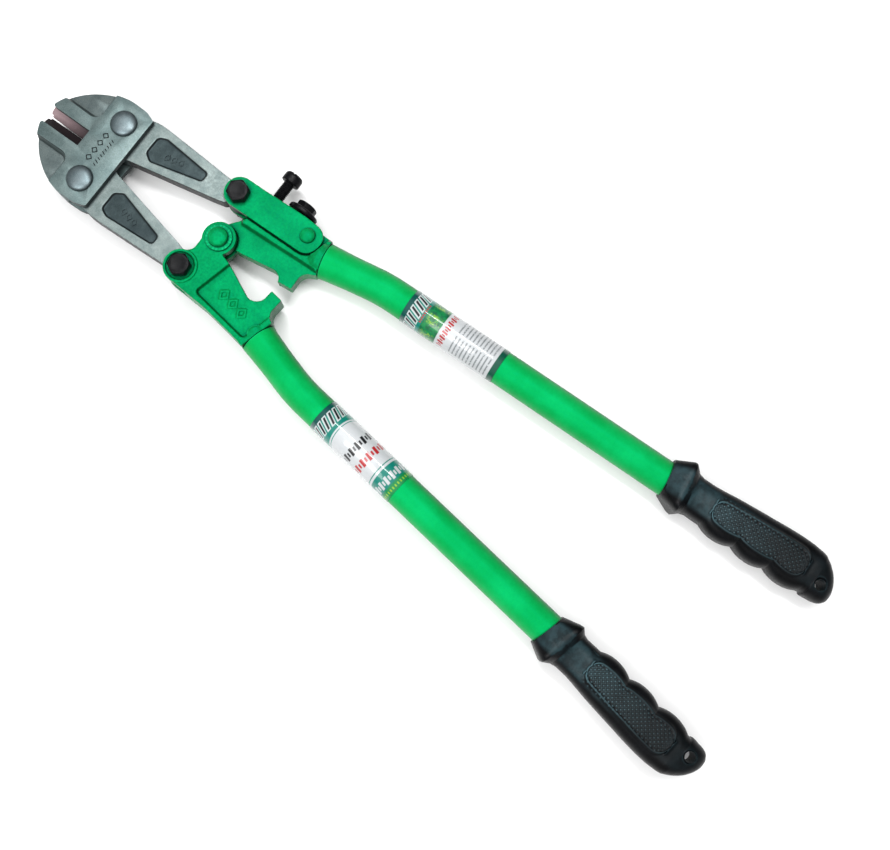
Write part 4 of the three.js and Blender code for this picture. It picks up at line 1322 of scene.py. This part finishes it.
def grip_vinyl():
    """Moulded vinyl: black, with a painted bluish sheen on the flat tops of the panel and neck that fades
    towards the end.
    """
    look = Look("grip_vinyl", Specular_IOR_Level=0.09)
    _, knee, length = tube_line()
    way = down(TUBE_LEAN)
    mouth = (CENTRE / MM).xy + knee + way * length
    x, y, _ = look.node("SeparateXYZ", Vector=look.mm).outputs
    # both grips share one drawing: the right one is measured as its mirror image
    x = look.minus(CENTRE.x / MM, look.size(look.minus(x, CENTRE.x / MM)))
    x, y = look.minus(x, mouth.x), look.minus(y, mouth.y)

    def dot(a, b):
        return look.plus(look.times(x, a), look.times(y, b))

    across, below = dot(-way.y, way.x), dot(way.x, way.y)
    black = look.mix(look.cloud(0.08, 4), (0.0008, 0.0009, 0.0012), (0.0022, 0.0026, 0.0034))
    # painted sheen: flat tops across the middle are laid bluish, fading towards the end of the grip
    flat = look.minus(1.0, look.steep(0.6, 0.93))
    cloud = look.cloud(0.12, 4, 0.35, 1.2, 0.6)
    middle = look.band(across, -10.5, 9.0, 2.2)
    fade = look.ramp(below, 6, 104, 1.0, 0.12)
    painted_sheen = look.math("MULTIPLY", look.times(flat, fade, middle), cloud, clamp=True)
    look.tint = look.mix(painted_sheen, black, (0.014, 0.029, 0.034))
    # knurls: painted highlights on the tips over painted shade in the grooves
    tips = []
    for way_across in ("ADD", "SUBTRACT"):
        turn = look.math("DIVIDE", look.math(way_across, across, below), KNURL_PITCH)
        place = look.math("FRACT", look.plus(turn, 100.5))
        tips.append(look.size(look.minus(place, 0.5)))
    spread = look.math("MAXIMUM", *tips)
    panel = look.times(look.band(below, PANEL_TOP + 2, PANEL_END - 4, 2), look.band(across, -9.0, 7.2, 1.0))
    groove = look.times(panel, look.ramp(spread, 0.24, 0.42))
    look.lay(look.times(groove, 0.9), (0.001, 0.0012, 0.0015))
    tip = look.times(panel, look.ramp(spread, 0.06, 0.2, 1.0, 0.0))
    bright = look.times(tip, look.ramp(fade, 0.2, 1.0, 0.35, 1.0))
    look.lay(look.math("MULTIPLY", bright, cloud, clamp=True), (0.045, 0.078, 0.088))
    # painted highlight: convex edges and the panel's border ridge across the middle are laid bluish, from
    # just above the panel on, fading towards the end
    beside = look.ramp(below, PANEL_TOP - 9, PANEL_TOP - 3)
    wear_and_painted_highlight = look.times(look.edges(0.503, 0.54), middle, fade, beside, 0.8)
    look.lay(wear_and_painted_highlight, (0.05, 0.1, 0.115))
    look.surface(0.9, 0.32, 0.48, 4)
    look.bump(look.noise(3.0, 3, 0.6), 0.05, 0.4)
    look.bump(look.noise(0.3, 2), 0.2, 0.25)
    return look.material


TEAL, DARK_TEAL = (0.002, 0.13, 0.1), (0.001, 0.045, 0.04)
SILVER, INK, PAPER = (0.36, 0.4, 0.4), (0.005, 0.006, 0.007), (0.36, 0.375, 0.385)
RED, LIME, LABEL_GREEN = (0.27, 0.014, 0.016), (0.16, 0.3, 0.02), (0.003, 0.15, 0.04)


def label_print(side):
    """A printed wrap with bands, bars and blocks only: no letters and no marks."""
    word = "left" if side == LEFT else "right"
    look = Look("label_print_" + word, Coat_Weight=0.7, Coat_Roughness=0.05, Specular_IOR_Level=0.15)
    top, way = label_top(side), down(TUBE_LEAN)
    if side == RIGHT:
        top, way = Vector((-top.x, top.y)), Vector((-way.x, way.y))
    sideways = Vector((-way.y, way.x))
    v = look.math("DIVIDE", look.along(top, way), LABEL_SPAN[side][1])
    across = look.along(top, sideways)
    u = look.times(look.math("ARCTAN2", across, look.level()), TUBE_RADIUS)
    bow = look.times(look.math("MINIMUM", look.times(u, u), 330.0), 0.00018)
    arched = look.minus(v, bow)
    dished = look.minus(v, look.times(bow, 0.35))

    def cells(period, shift, slant):
        """Place within repeated cells across the wrap, from 0 to 1."""
        place = look.plus(u, shift + 200.0)
        if slant:
            place = look.plus(place, look.times(v, slant))
        return look.math("FRACT", look.math("DIVIDE", place, period))

    def bars(period, share, shift=0.0, slant=0.0):
        return look.band(cells(period, shift, slant), 0.5 - share / 2, 0.5 + share / 2, 0.06)

    def strip(low, high):
        """A strip across the wrap, between two shares of its length."""
        return look.band(v, low, high, 0.004)

    def blocks(low, high, period, shift=0.0):
        """A row of leaning blocks, tall and short in turn."""
        rise = (high - low) * 0.22
        tall = look.times(strip(low, high), bars(period, 0.4, shift, 9))
        short = look.times(strip(low + rise, high - rise), bars(period, 0.26, shift + period / 2, 9))
        return look.either(tall, short)

    def slashes(end):
        """Slanting silver bars with dark cores, at the start of the wrap."""
        lay(look.times(strip(0.045, end), bars(4.6, 0.74, 0.6, 26)), SILVER)
        lay(look.times(strip(0.055, end - 0.01), bars(4.6, 0.36, 0.4, 26)), INK)

    look.tint, lay = PAPER, look.lay
    if side == LEFT:
        lay(look.ramp(arched, 0.208, 0.216, 1.0, 0.0), TEAL)
        lay(look.band(arched, 0.228, 0.236, 0.003), TEAL)
        lay(look.ramp(v, 0.055, 0.063, 1.0, 0.0), DARK_TEAL)
        slashes(0.175)
        lay(look.times(blocks(0.42, 0.5, 5.6), look.band(u, -14, 40)), INK)
        lay(look.times(blocks(0.565, 0.645, 6.0, 1.0), look.band(u, -16, 40)), RED)
        lay(look.ramp(dished, 0.775, 0.783), TEAL)
        lay(look.band(dished, 0.745, 0.755, 0.003), TEAL)
        lay(look.ramp(v, 0.925, 0.935), LABEL_GREEN)
        lay(blocks(0.835, 0.915, 5.2, 0.5), PAPER)
        lay(look.times(strip(0.953, 0.978), bars(2.3, 0.45)), LIME)
    else:
        lay(look.ramp(v, 0.2, 0.208, 1.0, 0.0), TEAL)
        lay(look.ramp(v, 0.055, 0.063, 1.0, 0.0), DARK_TEAL)
        slashes(0.165)
        lay(look.times(strip(0.172, 0.192), bars(1.6, 0.55), look.band(u, -8, 6)), RED)
        green = look.mix(look.ramp(look.noise(0.3, 3), 0.35, 0.65), LABEL_GREEN, (0.002, 0.07, 0.03))
        lay(strip(0.2, 0.375), green)
        patch = look.ramp(look.noise(0.42, 4, 0.6, distortion=0.6), 0.5, 0.58)
        lay(look.times(look.band(v, 0.225, 0.355, 0.01), bars(13, 0.55, 3.0), patch), (0.11, 0.26, 0.02))
        lay(look.times(blocks(0.4, 0.46, 3.6), look.band(u, -15, 12)), RED)
        lines = look.math("FRACT", look.times(v, 27.0))
        printed = look.times(
            look.band(lines, 0.3, 0.68, 0.1), strip(0.52, 0.925),
            look.either(look.band(u, -15, -1.5), look.band(u, 1, 15)),
            look.ramp(look.noise(0.9, 2), 0.34, 0.44)
        )
        lay(look.times(printed, 0.8), (0.09, 0.1, 0.105))
        lay(look.ramp(v, 0.94, 0.948), (0.0015, 0.05, 0.03))
    look.surface(0.4, 0.3, 0.42)
    look.bump(look.noise(0.18, 2), 0.12, 0.25)
    return look.material


PLATE_STEEL = plate_steel()
RIVET_STEEL = rivet_steel()
JAW_STEEL = {LEFT: jaw_steel(LEFT), RIGHT: jaw_steel(RIGHT)}
# the third colour of each enamel is the deep colour of its painted shade; steep sets how much of it falls
# on walls facing +X
CAST_ENAMEL = enamel(
    "cast_enamel", (0.001, 0.185, 0.05), (0.0008, 0.125, 0.031), (0.0004, 0.018, 0.005), 0.2, 0.36,
    steep=0.75
)
TUBE_ENAMEL = enamel(
    "tube_enamel", (0.0015, 0.235, 0.052), (0.001, 0.195, 0.036), (0.0004, 0.04, 0.01), 0.03, 0.46,
    grain=0.9, corner_shade_reach=1.2
)
GRIP_VINYL = grip_vinyl()
BLACK_OXIDE = black_oxide()
LABEL_PRINT = {LEFT: label_print(LEFT), RIGHT: label_print(RIGHT)}

make_head()
make_castings()
make_fasteners()
make_handles()


# ---- studio --------------------------------------------------------------------------------------
FLOOR_HALF = 4.0


def aim(thing, location, target, up=Vector((0, 1, 0))):
    """Puts a lamp or camera at location, looking at target, with the given up direction."""
    back = (Vector(location) - Vector(target)).normalized()
    right = up.cross(back).normalized()
    turn = Matrix((right, back.cross(right), back)).transposed().to_4x4()
    thing.matrix_world = Matrix.Translation(location) @ turn


def area_light(name, location, size, power):
    lamp = bpy.data.lights.new(name, "AREA")
    lamp.shape = "RECTANGLE"
    lamp.size, lamp.size_y = size
    lamp.energy = power
    aim(link(lamp, name), location, (cad_low + cad_high) / 2)


def make_floor():
    corners = [(x * FLOOR_HALF, y * FLOOR_HALF, 0) for x, y in ((-1, -1), (1, -1), (1, 1), (-1, 1))]
    floor = built(corners, [(0, 1, 2, 3)])
    floor.name = "studio_floor"
    look = Look("pale_floor", Roughness=0.9, Specular_IOR_Level=0.1)
    tint = look.mix(look.noise(0.02, 2), (0.73, 0.73, 0.73), (0.75, 0.75, 0.75))
    look.put(look.shader.inputs["Base Color"], tint)
    floor.data.materials.append(look.material)


def make_world():
    """White light all round, strongest from above and a little to the left."""
    world = bpy.data.worlds.new("soft_white")
    world.use_nodes = True
    tree = world.node_tree
    side = tree.nodes.new("ShaderNodeVectorMath")
    side.operation = "DOT_PRODUCT"
    side.inputs[1].default_value = Vector((-0.35, 0.0, 0.94)).normalized()
    sky = tree.nodes.new("ShaderNodeTexCoord")
    tree.links.new(sky.outputs["Generated"], side.inputs[0])
    fade = tree.nodes.new("ShaderNodeMapRange")
    for socket, number in zip(fade.inputs[1:], (0.1, 1.0, 0.05, 1.1)):
        socket.default_value = number
    background = tree.nodes["Background"]
    tree.links.new(side.outputs["Value"], fade.inputs[0])
    tree.links.new(fade.outputs[0], background.inputs["Strength"])
    background.inputs["Color"].default_value = (1, 1, 1, 1)
    bpy.context.scene.world = world


def make_camera():
    lens = bpy.data.cameras.new("camera")
    lens.lens, lens.sensor_width = 46.64, 36  # fitted to the outline of the tool
    camera = link(lens, "camera")
    place, target, up = (-0.0969, -0.1208, 0.7694), (-0.00118, -0.04274, 0.0185), (0.775, 0.632, 0)
    aim(camera, place, target, Vector(up))
    bpy.context.scene.camera = camera


bpy.context.scene.view_settings.view_transform = "Standard"
make_floor()
make_world()
area_light("key", (-0.75, 0.1, 1.2), (0.7, 0.9), 15)
area_light("strip", (0.3, 0.1, 1.15), (0.13, 1.2), 13)
area_light("fill", (0.0, 0.3, 1.5), (1.0, 1.0), 7)
make_camera()
